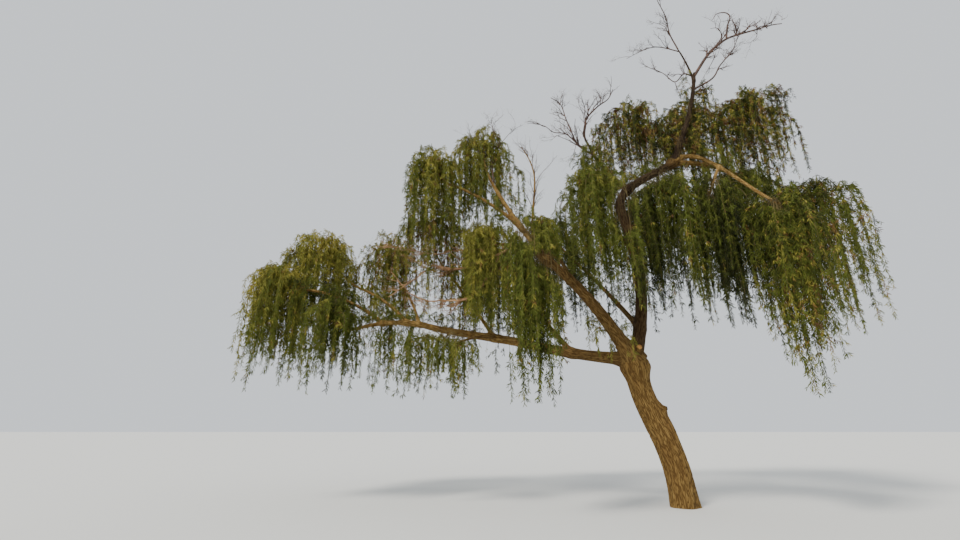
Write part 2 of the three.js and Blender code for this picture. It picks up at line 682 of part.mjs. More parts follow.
LEAFY.forEach((mass, number) => {
  const solid = leafySolid(number, limbs.get(mass.bough), spaces, capsules);
  willow.add(named(`foliage_${mass.name}`, solid, 'foliage'));
});
DEAD.forEach((mass, number) => {
  const solid = deadSolid(LEAFY.length + number, limbs.get(mass.bough), spaces, capsules);
  willow.add(named(`dead_twigs_${mass.name}`, solid, 'deadwood'));
});

export default willow;
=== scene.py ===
import json
import math

import bmesh
import bpy
import numpy as np
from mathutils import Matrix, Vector

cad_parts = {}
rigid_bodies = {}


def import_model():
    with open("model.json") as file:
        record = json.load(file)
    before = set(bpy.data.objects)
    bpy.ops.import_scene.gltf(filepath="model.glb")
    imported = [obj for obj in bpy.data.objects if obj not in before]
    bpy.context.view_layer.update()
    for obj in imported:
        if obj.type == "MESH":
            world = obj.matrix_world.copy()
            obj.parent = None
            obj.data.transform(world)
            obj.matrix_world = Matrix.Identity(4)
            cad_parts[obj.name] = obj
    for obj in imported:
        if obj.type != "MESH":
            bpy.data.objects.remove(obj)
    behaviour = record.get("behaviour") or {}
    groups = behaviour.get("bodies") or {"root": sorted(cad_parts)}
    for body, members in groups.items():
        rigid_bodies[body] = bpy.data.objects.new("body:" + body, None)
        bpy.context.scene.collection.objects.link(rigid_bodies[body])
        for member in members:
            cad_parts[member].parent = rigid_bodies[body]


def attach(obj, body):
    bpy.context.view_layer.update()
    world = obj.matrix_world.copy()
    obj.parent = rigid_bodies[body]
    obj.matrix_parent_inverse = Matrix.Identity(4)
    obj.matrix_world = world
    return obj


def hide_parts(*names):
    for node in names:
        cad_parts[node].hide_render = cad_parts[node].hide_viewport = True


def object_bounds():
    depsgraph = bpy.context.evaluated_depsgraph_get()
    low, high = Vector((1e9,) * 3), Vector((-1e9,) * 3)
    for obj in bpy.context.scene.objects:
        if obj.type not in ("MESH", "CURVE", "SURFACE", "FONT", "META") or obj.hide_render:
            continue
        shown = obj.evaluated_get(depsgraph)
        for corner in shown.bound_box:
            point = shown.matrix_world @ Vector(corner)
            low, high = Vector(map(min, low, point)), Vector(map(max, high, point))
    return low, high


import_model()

cad_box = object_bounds()


# The trunk and its boughs, in metres. Each limb is grown wood that tapers along one curve, from a place on
# its parent to its tip. A bow moves its middle, a sway moves its quarters to opposite sides, and a bough
# at 1 goes straight on from its parent's tip. A side bough swells where it leaves its parent.
TRUNK = dict(tip=(-0.720, 0, 3.190), bow=(0, 0, 0), sway=(0.095, 0, 0), girth=(0.545, 0.465))
FLARE = dict(out=0.12, height=0.26, lobes=5, lobed=0.45)
SWELL = dict(out=0.19, height=1.54, reach=0.32, round=0.5, lopsided=0.5)
DOME = dict(start=0.88, depth=0.72)
BOUGHS = [
    ("low_left_root", "trunk", 0.95, (-3.0, 0.38, 3.42), (0, 0, -0.06), (0.27, 0.22)),
    ("mid_left_root", "trunk", 0.93, (-2.85, -0.95, 5.2), (0.06, 0, 0.19), (0.32, 0.17)),
    ("leader_low", "trunk", 0.94, (-0.61, 0, 6.75), (0.33, 0.06, 0), (0.29, 0.235)),
    ("leader_mid", "leader_low", 1, (1.02, 0.06, 8.33), (0, 0, 0.06), (0.235, 0.17)),
    ("leader_top", "leader_mid", 0.95, (1.96, 0, 11.25), (0.13, 0, 0), (0.16, 0.084)),
    ("low_left_middle", "low_left_root", 1, (-5.55, 0.6, 3.93), (0, 0, -0.05), (0.22, 0.15)),
    ("low_left_end", "low_left_middle", 1, (-7.25, 0.3, 3.8), (0, 0, 0.11), (0.15, 0.072)),
    ("left_rise", "low_left_end", 0.3, (-7.35, 0.95, 5.0), (0.06, 0, 0.07), (0.1, 0.06)),
    ("left_outer", "low_left_end", 0.62, (-8.55, 0, 4.7), (0, 0, 0.18), (0.09, 0.056)),
    ("left_behind", "low_left_end", 0.12, (-6.25, 1.3, 5.0), (0, 0, 0.12), (0.084, 0.05)),
    ("left_open", "low_left_middle", 0.35, (-5.15, 0.7, 5.45), (-0.06, 0, 0.13), (0.096, 0.052)),
    ("left_under", "low_left_middle", 0.3, (-4.75, -0.15, 3.38), (0, 0, 0.09), (0.08, 0.05)),
    ("mid_left_rise", "mid_left_root", 0.95, (-3.9, -0.5, 7.25), (-0.06, 0, 0), (0.15, 0.084)),
    ("mid_left_low", "mid_left_root", 1, (-3.8, -0.55, 5.65), (0, 0, 0.04), (0.17, 0.07)),
    ("mid_left_far", "mid_left_rise", 0.42, (-4.95, -0.45, 7.3), (0, 0, 0.12), (0.09, 0.056)),
    ("mid_left_front", "mid_left_root", 0.72, (-2.9, -1.65, 5.0), (0.06, 0, 0.15), (0.09, 0.056)),
    ("bare_snag", "mid_left_rise", 0.2, (-3.23, -1.05, 8.0), (0.16, -0.06, 0), (0.07, 0.022)),
    ("high_left", "leader_mid", 0.35, (-1.08, 0.6, 9.1), (-0.12, 0.06, 0.06), (0.13, 0.072)),
    ("top_left", "leader_top", 0.22, (0.45, 0.62, 9.75), (0, 0, 0.13), (0.09, 0.056)),
    ("top_back", "leader_top", 0.36, (2.15, 1.0, 10.15), (0, 0, 0.09), (0.08, 0.052)),
    ("top_right", "leader_top", 0.16, (2.75, 0.2, 9.65), (0, 0, 0.14), (0.11, 0.062)),
    ("top_fork", "leader_top", 0.9, (1.6, 0, 12.15), (0.04, 0, 0), (0.06, 0.04)),
    ("right_arch", "leader_mid", 1, (2.56, -1.25, 6.35), (0, 0, 0.06), (0.12, 0.062)),
    ("under_arch", "right_arch", 0.5, (1.05, -1.0, 6.45), (0, 0, 0.06), (0.076, 0.05)),
    ("right_out", "leader_mid", 0.93, (3.7, 0.15, 7.0), (0.12, 0, 0.42), (0.13, 0.066)),
    ("right_inner", "right_out", 0.5, (2.7, 0.5, 7.25), (0, 0, 0.13), (0.08, 0.052)),
    ("back_far", "right_out", 0.3, (2.95, 1.8, 7.9), (0, 0, 0.2), (0.09, 0.054)),
    ("back_left", "low_left_root", 0.6, (-3.65, 1.95, 5.6), (0, 0.15, 0.17), (0.13, 0.06)),
    ("back_middle", "leader_low", 0.2, (-1.55, 2.05, 6.3), (0, 0.15, 0.17), (0.13, 0.06)),
    ("back_right", "leader_low", 0.55, (0.85, 2.1, 7.3), (0, 0.1, 0.2), (0.12, 0.06)),
    ("front_left", "leader_low", 0.62, (-1.25, -0.85, 6.15), (0, 0, 0.13), (0.096, 0.056)),
    ("front_right", "leader_low", 0.85, (-0.06, -0.85, 6.55), (0, 0, 0.11), (0.09, 0.054)),
]
SWAYS = {"bare_snag": (-0.07, 0.04, 0)}
COLLAR = 0.35
UP = np.array((0.0, 0.0, 1.0))


def unit(vectors):
    """Vectors in the same directions, each one long."""
    return vectors / np.linalg.norm(vectors, axis=-1, keepdims=True)


class Limb:
    """A tapering limb along a smooth curve, with its place, its heading and its radius at a share of it."""

    def __init__(self, name, parent, at, tip, bow, girth, sway=(0, 0, 0)):
        self.name, self.parent, self.at, self.girth = name, parent, at, girth
        root = parent.points(at)[0] if parent else np.zeros(3)
        tip, bow = np.array(tip, float), np.array(bow, float)
        chord = tip - root
        self.length = np.linalg.norm(chord)
        leave = parent.heading(1)[0] * self.length if at == 1 else chord + 4 * bow
        self.ends = np.array([root, root + leave / 3, tip - (chord - 4 * bow) / 3, tip])
        self.sway = np.array(sway, float)
        self.collar = COLLAR if parent and at != 1 else 0
        self.side = unit(np.cross(UP, chord))

    def points(self, s):
        s = np.atleast_1d(s)[:, None]
        weights = np.hstack([(1 - s) ** 3, 3 * s * (1 - s) ** 2, 3 * s * s * (1 - s), s ** 3])
        return weights @ self.ends + self.sway * np.sin(2 * np.pi * s)

    def heading(self, s):
        s = np.atleast_1d(np.asarray(s, float))
        step = 1e-4
        return unit(self.points(np.minimum(s + step, 1)) - self.points(np.maximum(s - step, 0)))

    def radius(self, s):
        s = np.atleast_1d(s)
        taper = (self.girth[0] + (self.girth[1] - self.girth[0]) * s) / 2
        return taper * (1 + self.collar * np.exp(-s * self.length / self.girth[0]))


limbs = {"trunk": Limb("trunk", None, 0, **TRUNK)}
for name, parent, at, tip, bow, girth in BOUGHS:
    sway = SWAYS.get(name, (0, 0, 0))
    limbs[name] = Limb(name, limbs[parent], at, tip, bow, girth, sway)


# The masses of foliage: domes of hanging twigs, each grown on its own bough's tip, with a stem of wood that
# goes on from the bough and rises under its top. Each row gives the bough, the middle of the plan, half the
# width, the top and the bottom, how full of twigs it is and the look of its leaves.
MASSES = [
    ("left_tip", "left_outer", (-9.14, -0.05), 0.7, 5.2, 2.4, 1.25, "golden"),
    ("left_inner", "left_rise", (-8.55, 1.0), 1.1, 6.55, 3.3, 1.35, "golden"),
    ("left_under", "low_left_end", (-7.75, -0.15), 0.8, 4.4, 2.25, 0.8, "olive"),
    ("left_behind", "left_behind", (-6.85, 1.5), 0.95, 6.7, 3.5, 1.2, "open"),
    ("left_open", "left_open", (-5.45, 0.45), 1.2, 7.1, 3.8, 1.4, "open"),
    ("low_left", "left_under", (-5.15, -0.35), 1.0, 3.62, 2.0, 0.8, "olive"),
    ("high_left_outer", "mid_left_far", (-5.42, -0.35), 0.8, 8.3, 5.4, 1.0, "sunlit"),
    ("high_left", "mid_left_rise", (-4.1, 0.25), 1.0, 9.25, 6.0, 1.0, "sunlit"),
    ("middle_left", "mid_left_low", (-4.1, -0.3), 0.8, 6.2, 3.15, 0.9, "sunlit"),
    ("front_left", "mid_left_front", (-3.2, -2.0), 0.57, 5.6, 1.9, 1.25, "olive"),
    ("front_middle", "front_left", (-1.58, -1.1), 1.05, 7.3, 3.25, 1.1, "fresh"),
    ("front_centre", "front_right", (0.06, -1.1), 0.85, 7.2, 3.35, 1.0, "shaded_green"),
    ("under_arch", "under_arch", (1.08, -1.35), 0.72, 6.95, 3.3, 1.0, "shaded_green"),
    ("top_left", "top_left", (0.12, 0.75), 1.2, 10.5, 7.5, 1.0, "russet"),
    ("top_back", "top_back", (2.4, 1.75), 1.12, 11.5, 7.9, 1.0, "russet"),
    ("top_right", "top_right", (3.45, 0.25), 1.25, 10.65, 7.1, 1.2, "russet"),
    ("right_inner", "right_inner", (2.85, 0.35), 1.1, 8.2, 4.3, 1.0, "shaded_green"),
    ("right_tip", "right_out", (4.2, -0.2), 1.15, 7.5, 3.4, 1.2, "dull"),
    ("front_right", "right_arch", (1.9, -2.05), 0.78, 6.08, 1.8, 1.25, "dull"),
    ("back_left", "back_left", (-4.15, 2.7), 1.1, 7.0, 3.7, 1.0, "shaded_green"),
    ("back_middle", "back_middle", (-1.85, 2.95), 1.15, 7.9, 4.3, 1.0, "shaded_green"),
    ("back_right", "back_right", (0.95, 2.95), 1.2, 8.8, 4.6, 1.0, "shaded_green"),
    ("back_far_right", "back_far", (3.35, 2.5), 1.15, 8.5, 4.5, 1.0, "olive"),
]
# A tongue narrows a mass towards its bottom. A parted mass ends higher up to the left of a place, where a
# bough shows behind it or the crown is open.
TONGUES = {"front_right": 0.4, "front_middle": 0.12, "under_arch": 0.15, "right_tip": 0.12}
PARTED = {"front_middle": (-1.45, 4.2), "left_open": (-5.8, 4.9)}
DOME_OF_HEIGHT, DOME_OF_SPREAD = 0.45, 1.2
STEM_STRAIGHT, STEM_UNDER, STEM_TIP = 0.45, 0.1, 0.009
REACH = 0.09


class Mass:
    """A mass of foliage: its dome, the bottom of its curtain and the stem that carries its twigs."""

    def __init__(self, number, name, bough, middle, spread, top, bottom, full, look):
        self.number, self.name, self.bough = number, name, limbs[bough]
        self.middle, self.spread = np.array(middle, float), spread
        self.top, self.bottom, self.full, self.look = top, bottom, full, look
        self.height, self.tongue = top - bottom, TONGUES.get(name, 0)
        self.parted_at, self.parted_bottom = PARTED.get(name, (-math.inf, bottom))
        self.dome = min(DOME_OF_HEIGHT * self.height, DOME_OF_SPREAD * spread)
        heading = self.bough.heading(1)[0]
        root = self.bough.points(1)[0]
        end = np.array([*middle, top - STEM_UNDER * self.dome])
        reach = STEM_STRAIGHT * np.linalg.norm(end - root)
        self.stem_ends = np.array([root, root + heading * reach, end])

    def stem(self, s):
        s = np.atleast_1d(s)[:, None]
        return np.hstack([(1 - s) ** 2, 2 * s * (1 - s), s * s]) @ self.stem_ends

    def dome_height(self, spots):
        away = np.linalg.norm(spots[:, :2] - self.middle, axis=1) / self.spread
        return self.top - self.dome * (1 - np.sqrt(np.maximum(0, 1 - away ** 2)))

    def holds(self, spots, spare):
        away = np.linalg.norm(spots[:, :2] - self.middle, axis=1)
        under = spots[:, 2] < self.dome_height(spots) + spare
        bottom = np.where(spots[:, 0] < self.parted_at, self.parted_bottom, self.bottom)
        return (away < self.spread + spare) & under & (spots[:, 2] > bottom - spare)


masses = [Mass(number, *row) for number, row in enumerate(MASSES)]


def within_reach(spots):
    """Whether each spot is in the box of the solids, or only a little outside it."""
    low, high = np.array(cad_box[0]) - REACH, np.array(cad_box[1]) + REACH
    return ((spots > low) & (spots < high)).all(axis=1)


# Bark: old willow bark, grey-brown, split into long furrows that run up the limb and cross each other.
# Every run of wood is one tube along its limbs, with a fillet at each fork. The furrows are wide and deep
# on the trunk and fine on thin boughs, and Geometry Nodes cut them into the tube's surface.
RING_STEP, LEAST_RINGS, SIDE_STEP, LEAST_SIDES = 0.038, 8, 0.012, 10
# A limb's tint says how dark its bark is: 0 is nearly black, 1 is tan, and 2 is wood laid bare by a break.
TINT = 0.38
TINTS = {
    "mid_left_root": 0.42, "leader_low": 0.16, "leader_mid": 0.08, "leader_top": 0.05, "top_fork": 0.05,
    "high_left": 0.2, "right_arch": 1.0, "under_arch": 1.0, "right_out": 0.7, "low_left_middle": 0.7,
    "low_left_end": 0.9, "left_open": 0.9, "left_behind": 0.9, "left_rise": 0.8, "left_outer": 0.8,
    "bare_snag": 0.8, "mid_left_rise": 0.7, "mid_left_far": 0.7}
TRUNK_TINT, FRESH_WOOD = 0.53, 2.0
FURROW_STRETCH, FURROW_SIDE, FURROW_LEVEL = 0.17, 0.13, 0.7
PLATE_WIDTH, PLATE_WIDENS, PATTERNS_APART = 0.022, 0.055, 31.7
FILLET_LIFT, FILLET_BATCH = 0.25, 4000
STEM_RINGS, STEM_TAPER, BLUNT_TIP = 50, 0.8, 0.5
RADII_BLEND, TINTS_BLEND, ROOT_RINGS = 9, 21, 6


class Socket:
    """A socket of a node tree, with arithmetic that adds the nodes it needs."""

    def __init__(self, tree, socket=None):
        self.tree, self.socket = tree, socket

    def node(self, kind, settings, values, out=0):
        made = self.tree.nodes.new(kind)
        for name, setting in settings.items():
            if name == "stops":
                elements = made.color_ramp.elements
                while len(elements) < len(setting):
                    elements.new(0.5)
                for stop, (place, tone) in zip(elements, setting):
                    stop.position, stop.color = place, (*tone, 1)
            else:
                setattr(made, name, setting)
        self.feed(made, values)
        shown = [s for s in made.outputs if s.enabled]
        return Socket(self.tree, shown[out]) if shown else None

    def feed(self, made, values):
        """Sets a node's inputs, named or numbered, to values or links them to sockets."""
        for key, value in values.items():
            named = [s for s in made.inputs if s.enabled and s.name == key]
            socket = made.inputs[key] if isinstance(key, int) else named[0]
            if isinstance(value, Socket):
                self.tree.links.new(value.socket, socket)
            else:
                socket.default_value = value

    def maths(self, operation, *values):
        values = {i: value for i, value in enumerate(values)}
        return self.node("ShaderNodeMath", {"operation": operation}, values)

    def __add__(self, other):
        return self.maths("ADD", self, other)

    def __sub__(self, other):
        return self.maths("SUBTRACT", self, other)

    def __mul__(self, other):
        return self.maths("MULTIPLY", self, other)

    def __rsub__(self, other):
        return self.maths("SUBTRACT", other, self)

    def __abs__(self):
        return self.maths("ABSOLUTE", self)

    __radd__ = __add__
    __rmul__ = __mul__


def colour(code):
    """A base colour from the six hex digits that a screen would show."""
    parts = [int(code[i:i + 2], 16) / 255 for i in (0, 2, 4)]
    return tuple(p / 12.92 if p < 0.04045 else ((p + 0.055) / 1.055) ** 2.4 for p in parts)


def material_of(name, look):
    """A material whose shader has the values and sockets that a function makes in its node tree."""
    material = bpy.data.materials.new(name)
    material.use_nodes = True
    tree = Socket(material.node_tree)
    tree.feed(material.node_tree.nodes["Principled BSDF"], look(tree))
    return material


def ramp(tree, value, places, codes):
    """The tone of a value between 0 and 1, by the tones at some places."""
    stops = [(place, colour(code)) for place, code in zip(places, codes)]
    return tree.node("ShaderNodeValToRGB", {"stops": stops}, {"Fac": value})


def mixed(tree, factor, first, second, blend="MIX"):
    """Two colours mixed."""
    return tree.node("ShaderNodeMix", {"data_type": "RGBA", "blend_type": blend},
                     {"Factor": factor, 6: first, 7: second})


def furrows(tree, bark):
    """How far the bark rises at a place: 0 in the bottom of a furrow, 1 on the plates between them."""
    noise = tree.node("ShaderNodeTexNoise", {}, {
        "Vector": bark, "Scale": 1.0, "Detail": 1.5, "Roughness": 0.5, "Distortion": 0.25})
    edge = {"From Min": 0.0, "From Max": FURROW_SIDE, "To Min": 0.0, "To Max": 1.0}
    return tree.node("ShaderNodeMapRange", {"interpolation_type": "SMOOTHSTEP"},
                     {"Value": abs(noise - 0.5), **edge})


def geometry_tree(name, sizes):
    """A Geometry Nodes tree with a geometry input, named inputs for its sizes and a geometry output."""
    tree = bpy.data.node_groups.new(name, "GeometryNodeTree")
    tree.interface.new_socket("Geometry", in_out="INPUT", socket_type="NodeSocketGeometry")
    tree.interface.new_socket("Geometry", in_out="OUTPUT", socket_type="NodeSocketGeometry")
    for size in sizes:
        kind = "NodeSocketInt" if size == "Seed" else "NodeSocketFloat"
        tree.interface.new_socket(size, in_out="INPUT", socket_type=kind)
    entry = tree.nodes.new("NodeGroupInput")
    return Socket(tree), {s.name: Socket(tree, s) for s in entry.outputs if s.name}


def attribute(tree, name, kind="FLOAT"):
    """What a mesh gives at each point under a name."""
    return tree.node("GeometryNodeInputNamedAttribute", {"data_type": kind}, {"Name": name})


def close_tree(tree, geometry):
    """Leads a geometry to the tree's output, and gives the finished tree."""
    end = tree.tree.nodes.new("NodeGroupOutput")
    tree.tree.links.new(geometry.socket, end.inputs[0])
    return tree.tree


def grown(name, mesh, tree, sizes):
    """The plain mesh object that a tree makes from a mesh."""
    piece = bpy.data.objects.new(name, mesh)
    bpy.context.scene.collection.objects.link(piece)
    modifier = piece.modifiers.new("grow", "NODES")
    modifier.node_group = tree
    for item in tree.interface.items_tree:
        if item.in_out == "INPUT" and item.name in sizes:
            modifier[item.identifier] = sizes[item.name]
    graph = bpy.context.evaluated_depsgraph_get()
    result = bpy.data.meshes.new_from_object(piece.evaluated_get(graph))
    piece.modifiers.clear()
    piece.data = result
    result.name = name
    return piece


def frames(points, side):
    """Two directions across a run of points, with no twist."""
    along = unit(np.gradient(points, axis=0))
    across = np.empty_like(points)
    across[0] = unit(side - along[0] * (side @ along[0]))
    for i in range(1, len(points)):
        carried = across[i - 1] - along[i] * (across[i - 1] @ along[i])
        across[i] = unit(carried)
    return across, np.cross(across, along)


def tube(points, radii, side, sides, number, depth):
    """A closed tube with the place of each vertex on the bark, and how deep the furrows are there."""
    across, third = frames(points, side)
    angle = 2 * np.pi * np.arange(sides) / sides
    out = across[:, None] * np.cos(angle)[None, :, None] + third[:, None] * np.sin(angle)[None, :, None]
    spots = points[:, None] + out * radii[..., None]
    width = PLATE_WIDTH + PLATE_WIDENS * radii.mean(axis=1)
    steps = np.linalg.norm(np.diff(points, axis=0), axis=1)
    run = np.concatenate([[0], np.cumsum(steps / width[1:])]) * FURROW_STRETCH
    bark = np.empty_like(spots)
    bark[..., 0] = np.cos(angle)[None] * (radii / width[:, None])
    bark[..., 1] = np.sin(angle)[None] * (radii / width[:, None])
    bark[..., 2] = run[:, None] + PATTERNS_APART * number
    rings = len(points)
    index = np.arange(rings * sides).reshape(rings, sides)
    turned = np.roll(index, -1, axis=1)
    quads = np.stack([index[:-1], index[1:], turned[1:], turned[:-1]], axis=-1).reshape(-1, 4)
    depth = np.broadcast_to(depth * radii.mean(axis=1)[:, None], radii.shape)
    return dict(spots=spots.reshape(-1, 3), quads=quads, root=index[0], tip=index[-1][::-1],
                bark=bark.reshape(-1, 3), depth=depth.reshape(-1), out=out.reshape(-1, 3))


def bark_mesh(name, tubes):
    """One mesh of several tubes, with flat ends, that carries its places on the bark."""
    spots, faces, bark, depth, tint = [], [], [], [], []
    count = 0
    for one in tubes:
        spots.append(one["spots"])
        bark.append(one["bark"])
        depth.append(one["depth"])
        tint.append(one["tint"])
        faces += (one["quads"] + count).tolist()
        faces += [(one["root"] + count).tolist(), (one["tip"] + count).tolist()]
        count += len(one["spots"])
    mesh = bpy.data.meshes.new(name)
    mesh.from_pydata(np.concatenate(spots), [], faces)
    for label, kind, values in (("bark", "FLOAT_VECTOR", bark), ("depth", "FLOAT", depth),
                                ("tint", "FLOAT", tint)):
        layer = mesh.attributes.new(label, kind, "POINT")
        field = "vector" if kind == "FLOAT_VECTOR" else "value"
        layer.data.foreach_set(field, np.concatenate(values).astype(np.float32).ravel())
    mesh.polygons.foreach_set("use_smooth", np.ones(len(mesh.polygons), bool))
    return mesh


def fillet(tube_made, points, radii, reach, share=1.0):
    """Lifts a tube's surface where another limb leaves it or enters it, as grown wood fills a fork."""
    spots = tube_made["spots"]
    lift = np.zeros(len(spots))
    for start in range(0, len(spots), FILLET_BATCH):
        part = slice(start, start + FILLET_BATCH)
        gap = np.linalg.norm(spots[part, None] - points[None], axis=2) - radii[None]
        lift[part] = FILLET_LIFT * reach * np.clip(1 - gap.min(axis=1) / reach, 0, 1) ** 2
    tube_made["spots"] = spots + tube_made["out"] * (lift * share)[:, None]


def blended(values, count, further=0):
    """Values averaged over some rings, so that one limb's pass slowly into the next one's."""
    padded = np.pad(values, (count // 2, count // 2 + further), mode="edge")
    return np.convolve(padded, np.ones(count) / count, mode="valid")


def run_of(limb):
    """A limb, the boughs that go straight on from it and the stem of the mass at its end, as one run."""
    chain = [limb]
    while True:
        further = [l for l in limbs.values() if l.parent is chain[-1] and l.at == 1]
        if not further:
            break
        chain.append(further[0])
    points, radii, tints = [], [], []
    for link in chain:
        count = max(LEAST_RINGS, int(link.length / RING_STEP))
        s = np.linspace(0, 1, count + 1)[:-1]
        points.append(link.points(s))
        radii.append(link.radius(s))
        tints.append(np.full(count, TINTS.get(link.name, TINT)))
    carried = [m for m in masses if m.bough is chain[-1]]
    if carried:
        s = np.linspace(0, 1, STEM_RINGS)
        points.append(carried[0].stem(s))
        start = chain[-1].radius(1)[0]
        radii.append(start + (STEM_TIP - start) * s ** STEM_TAPER)
    else:
        points.append(chain[-1].points(1))
        radii.append(chain[-1].radius(1) * BLUNT_TIP)
    points, radii, tints = np.concatenate(points), np.concatenate(radii), np.concatenate(tints)
    radii = np.where(np.arange(len(radii)) < ROOT_RINGS, radii, blended(radii, RADII_BLEND))
    return points, radii, chain, blended(tints, TINTS_BLEND, len(points) - len(tints))


# The trunk: one leaning stem with a lobed root flare, a swelling at half its height and a domed fork, where
# the three great boughs leave it. Two stubs show where limbs were lost, one healed over to a round knot and
# one broken off pale and orange.
STUBS = [
    dict(height=1.9, out=(1, -0.3, 0.15), length=0.35, girth=(0.2, 0.16), face=TRUNK_TINT, healed=0.8),
    dict(height=3.02, out=(0.1, -0.75, 0.55), length=0.41, girth=(0.14, 0.12), face=FRESH_WOOD, healed=0),
]
STUB_RINGS, STUB_SIDES, STUB_SPLINTERS, HEALED_FROM = 26, 56, 0.02, 0.7
TRUNK_RING_STEP, TRUNK_SIDES, TRUNK_BELOW = 0.016, 240, 0.02
TRUNK_FURROWS, STUB_FURROWS = 0.052, 0.06
FORK_REACH, STUB_REACH, FORK_RINGS, FIRST_STUB = 1.3, 0.9, 60, 40
LOW_FORKS = ("low_left_root", "mid_left_root")
RELIEF = {"Furrow depth": 1.0, "Plate roughness": 0.35, "Lumps": 2.2}
BARK_TONES, PATCH_TONES = ("3a2e26", "8a7140", "c0a364"), ("b9a89a", "e2dad0", "ffffff")
# The furrow tone darkens the furrows' own bark and also paints shade into them.
FURROW_BARK_AND_SHADE_TONE, BROKEN_TONE = "8a7a6a", "d8a05c"
JAGS = (7, 3.1)
trunk = limbs["trunk"]
trunk_height = TRUNK["tip"][2]
trunk_s = np.linspace(-TRUNK_BELOW, 1, int(trunk_height / TRUNK_RING_STEP))
trunk_points = trunk.points(np.maximum(trunk_s, 0))
trunk_points += np.minimum(trunk_s, 0)[:, None] * trunk_height * UP
angle = 2 * np.pi * np.arange(TRUNK_SIDES) / TRUNK_SIDES
height = trunk_s[:, None] * trunk_height
lobes = 1 + FLARE["lobed"] * np.cos(FLARE["lobes"] * angle)
flared = FLARE["out"] * np.exp(-height / FLARE["height"]) * lobes
near = (height - SWELL["height"]) / SWELL["reach"]
swollen = SWELL["out"] * np.exp(-near ** 2) * (SWELL["round"] - SWELL["lopsided"] * np.sin(angle))
above = np.maximum(0, (trunk_s - DOME["start"]) / (1 - DOME["start"]))[:, None]
rounded = np.sqrt(1 - DOME["depth"] * above ** 2)
trunk_radii = trunk.radius(np.maximum(trunk_s, 0))[:, None] * (1 + flared + swollen) * rounded
trunk_tube = tube(trunk_points, trunk_radii, trunk.side, TRUNK_SIDES, 0, TRUNK_FURROWS)

runs = {limb.name: run_of(limb) for limb in limbs.values() if limb is not trunk and limb.at != 1}
trunk_tube["tint"] = np.full(trunk_radii.size, TRUNK_TINT)
ends_within = np.repeat(1 - above[:, 0], TRUNK_SIDES)
for name in LOW_FORKS:
    points, radii, chain, _ = runs[name]
    reach = FORK_REACH * chain[0].girth[0]
    fillet(trunk_tube, points[:FORK_RINGS], radii[:FORK_RINGS], reach, ends_within)
trunk_parts = [trunk_tube]
for number, stub in enumerate(STUBS):
    out = unit(np.array(stub["out"], float))
    s = np.linspace(0, 1, STUB_RINGS)
    points = trunk.points(stub["height"] / trunk_height) + out * (s * stub["length"])[:, None]
    radii = stub["girth"][0] / 2 + (stub["girth"][1] - stub["girth"][0]) / 2 * s
    radii = radii * np.sqrt(1 - stub["healed"] * np.clip((s - HEALED_FROM) / (1 - HEALED_FROM), 0, 1) ** 2)
    fillet(trunk_tube, points, radii, STUB_REACH * stub["girth"][0])
    part = tube(points, np.repeat(radii[:, None], STUB_SIDES, axis=1), unit(np.cross(UP, out)), STUB_SIDES,
                FIRST_STUB + number, STUB_FURROWS)
    part["tint"] = np.repeat(np.where(s < 1, TRUNK_TINT, stub["face"]), STUB_SIDES)
    splinters = np.array([math.sin(JAGS[0] * k) * math.sin(JAGS[1] * k) for k in range(STUB_SIDES)])
    part["spots"][-STUB_SIDES:] += splinters[:, None] * out * STUB_SPLINTERS
    trunk_parts.append(part)


def relief_tree():
    """Moves a bark mesh's surface along its normals: furrows, rough plates and broad lumps."""
    tree, sizes = geometry_tree("bark_relief", [*RELIEF, "Seed"])
    bark = attribute(tree, "bark", "FLOAT_VECTOR")
    rise = furrows(tree, bark)
    fine = tree.node("ShaderNodeTexNoise", {"noise_dimensions": "4D"}, {
        "Vector": bark, "W": sizes["Seed"], "Scale": 3.0, "Detail": 2.0})
    broad = tree.node("ShaderNodeTexNoise", {"noise_dimensions": "4D"}, {
        "Vector": bark, "W": sizes["Seed"], "Scale": 0.16, "Detail": 1.0})
    plates = (rise - FURROW_LEVEL) * sizes["Furrow depth"] + (fine - 0.5) * sizes["Plate roughness"]
    lift = (plates + (broad - 0.5) * sizes["Lumps"]) * attribute(tree, "depth")
    normal = tree.node("GeometryNodeInputNormal", {}, {})
    offset = tree.node("ShaderNodeVectorMath", {"operation": "SCALE"}, {0: normal, "Scale": lift})
    moved = tree.node("GeometryNodeSetPosition", {}, {"Geometry": sizes["Geometry"], "Offset": offset})
    realized = tree.node("GeometryNodeRealizeInstances", {}, {"Geometry": moved})
    painted = tree.node("GeometryNodeSetMaterial", {}, {"Geometry": realized, "Material": bark_material})
    return close_tree(tree, painted)


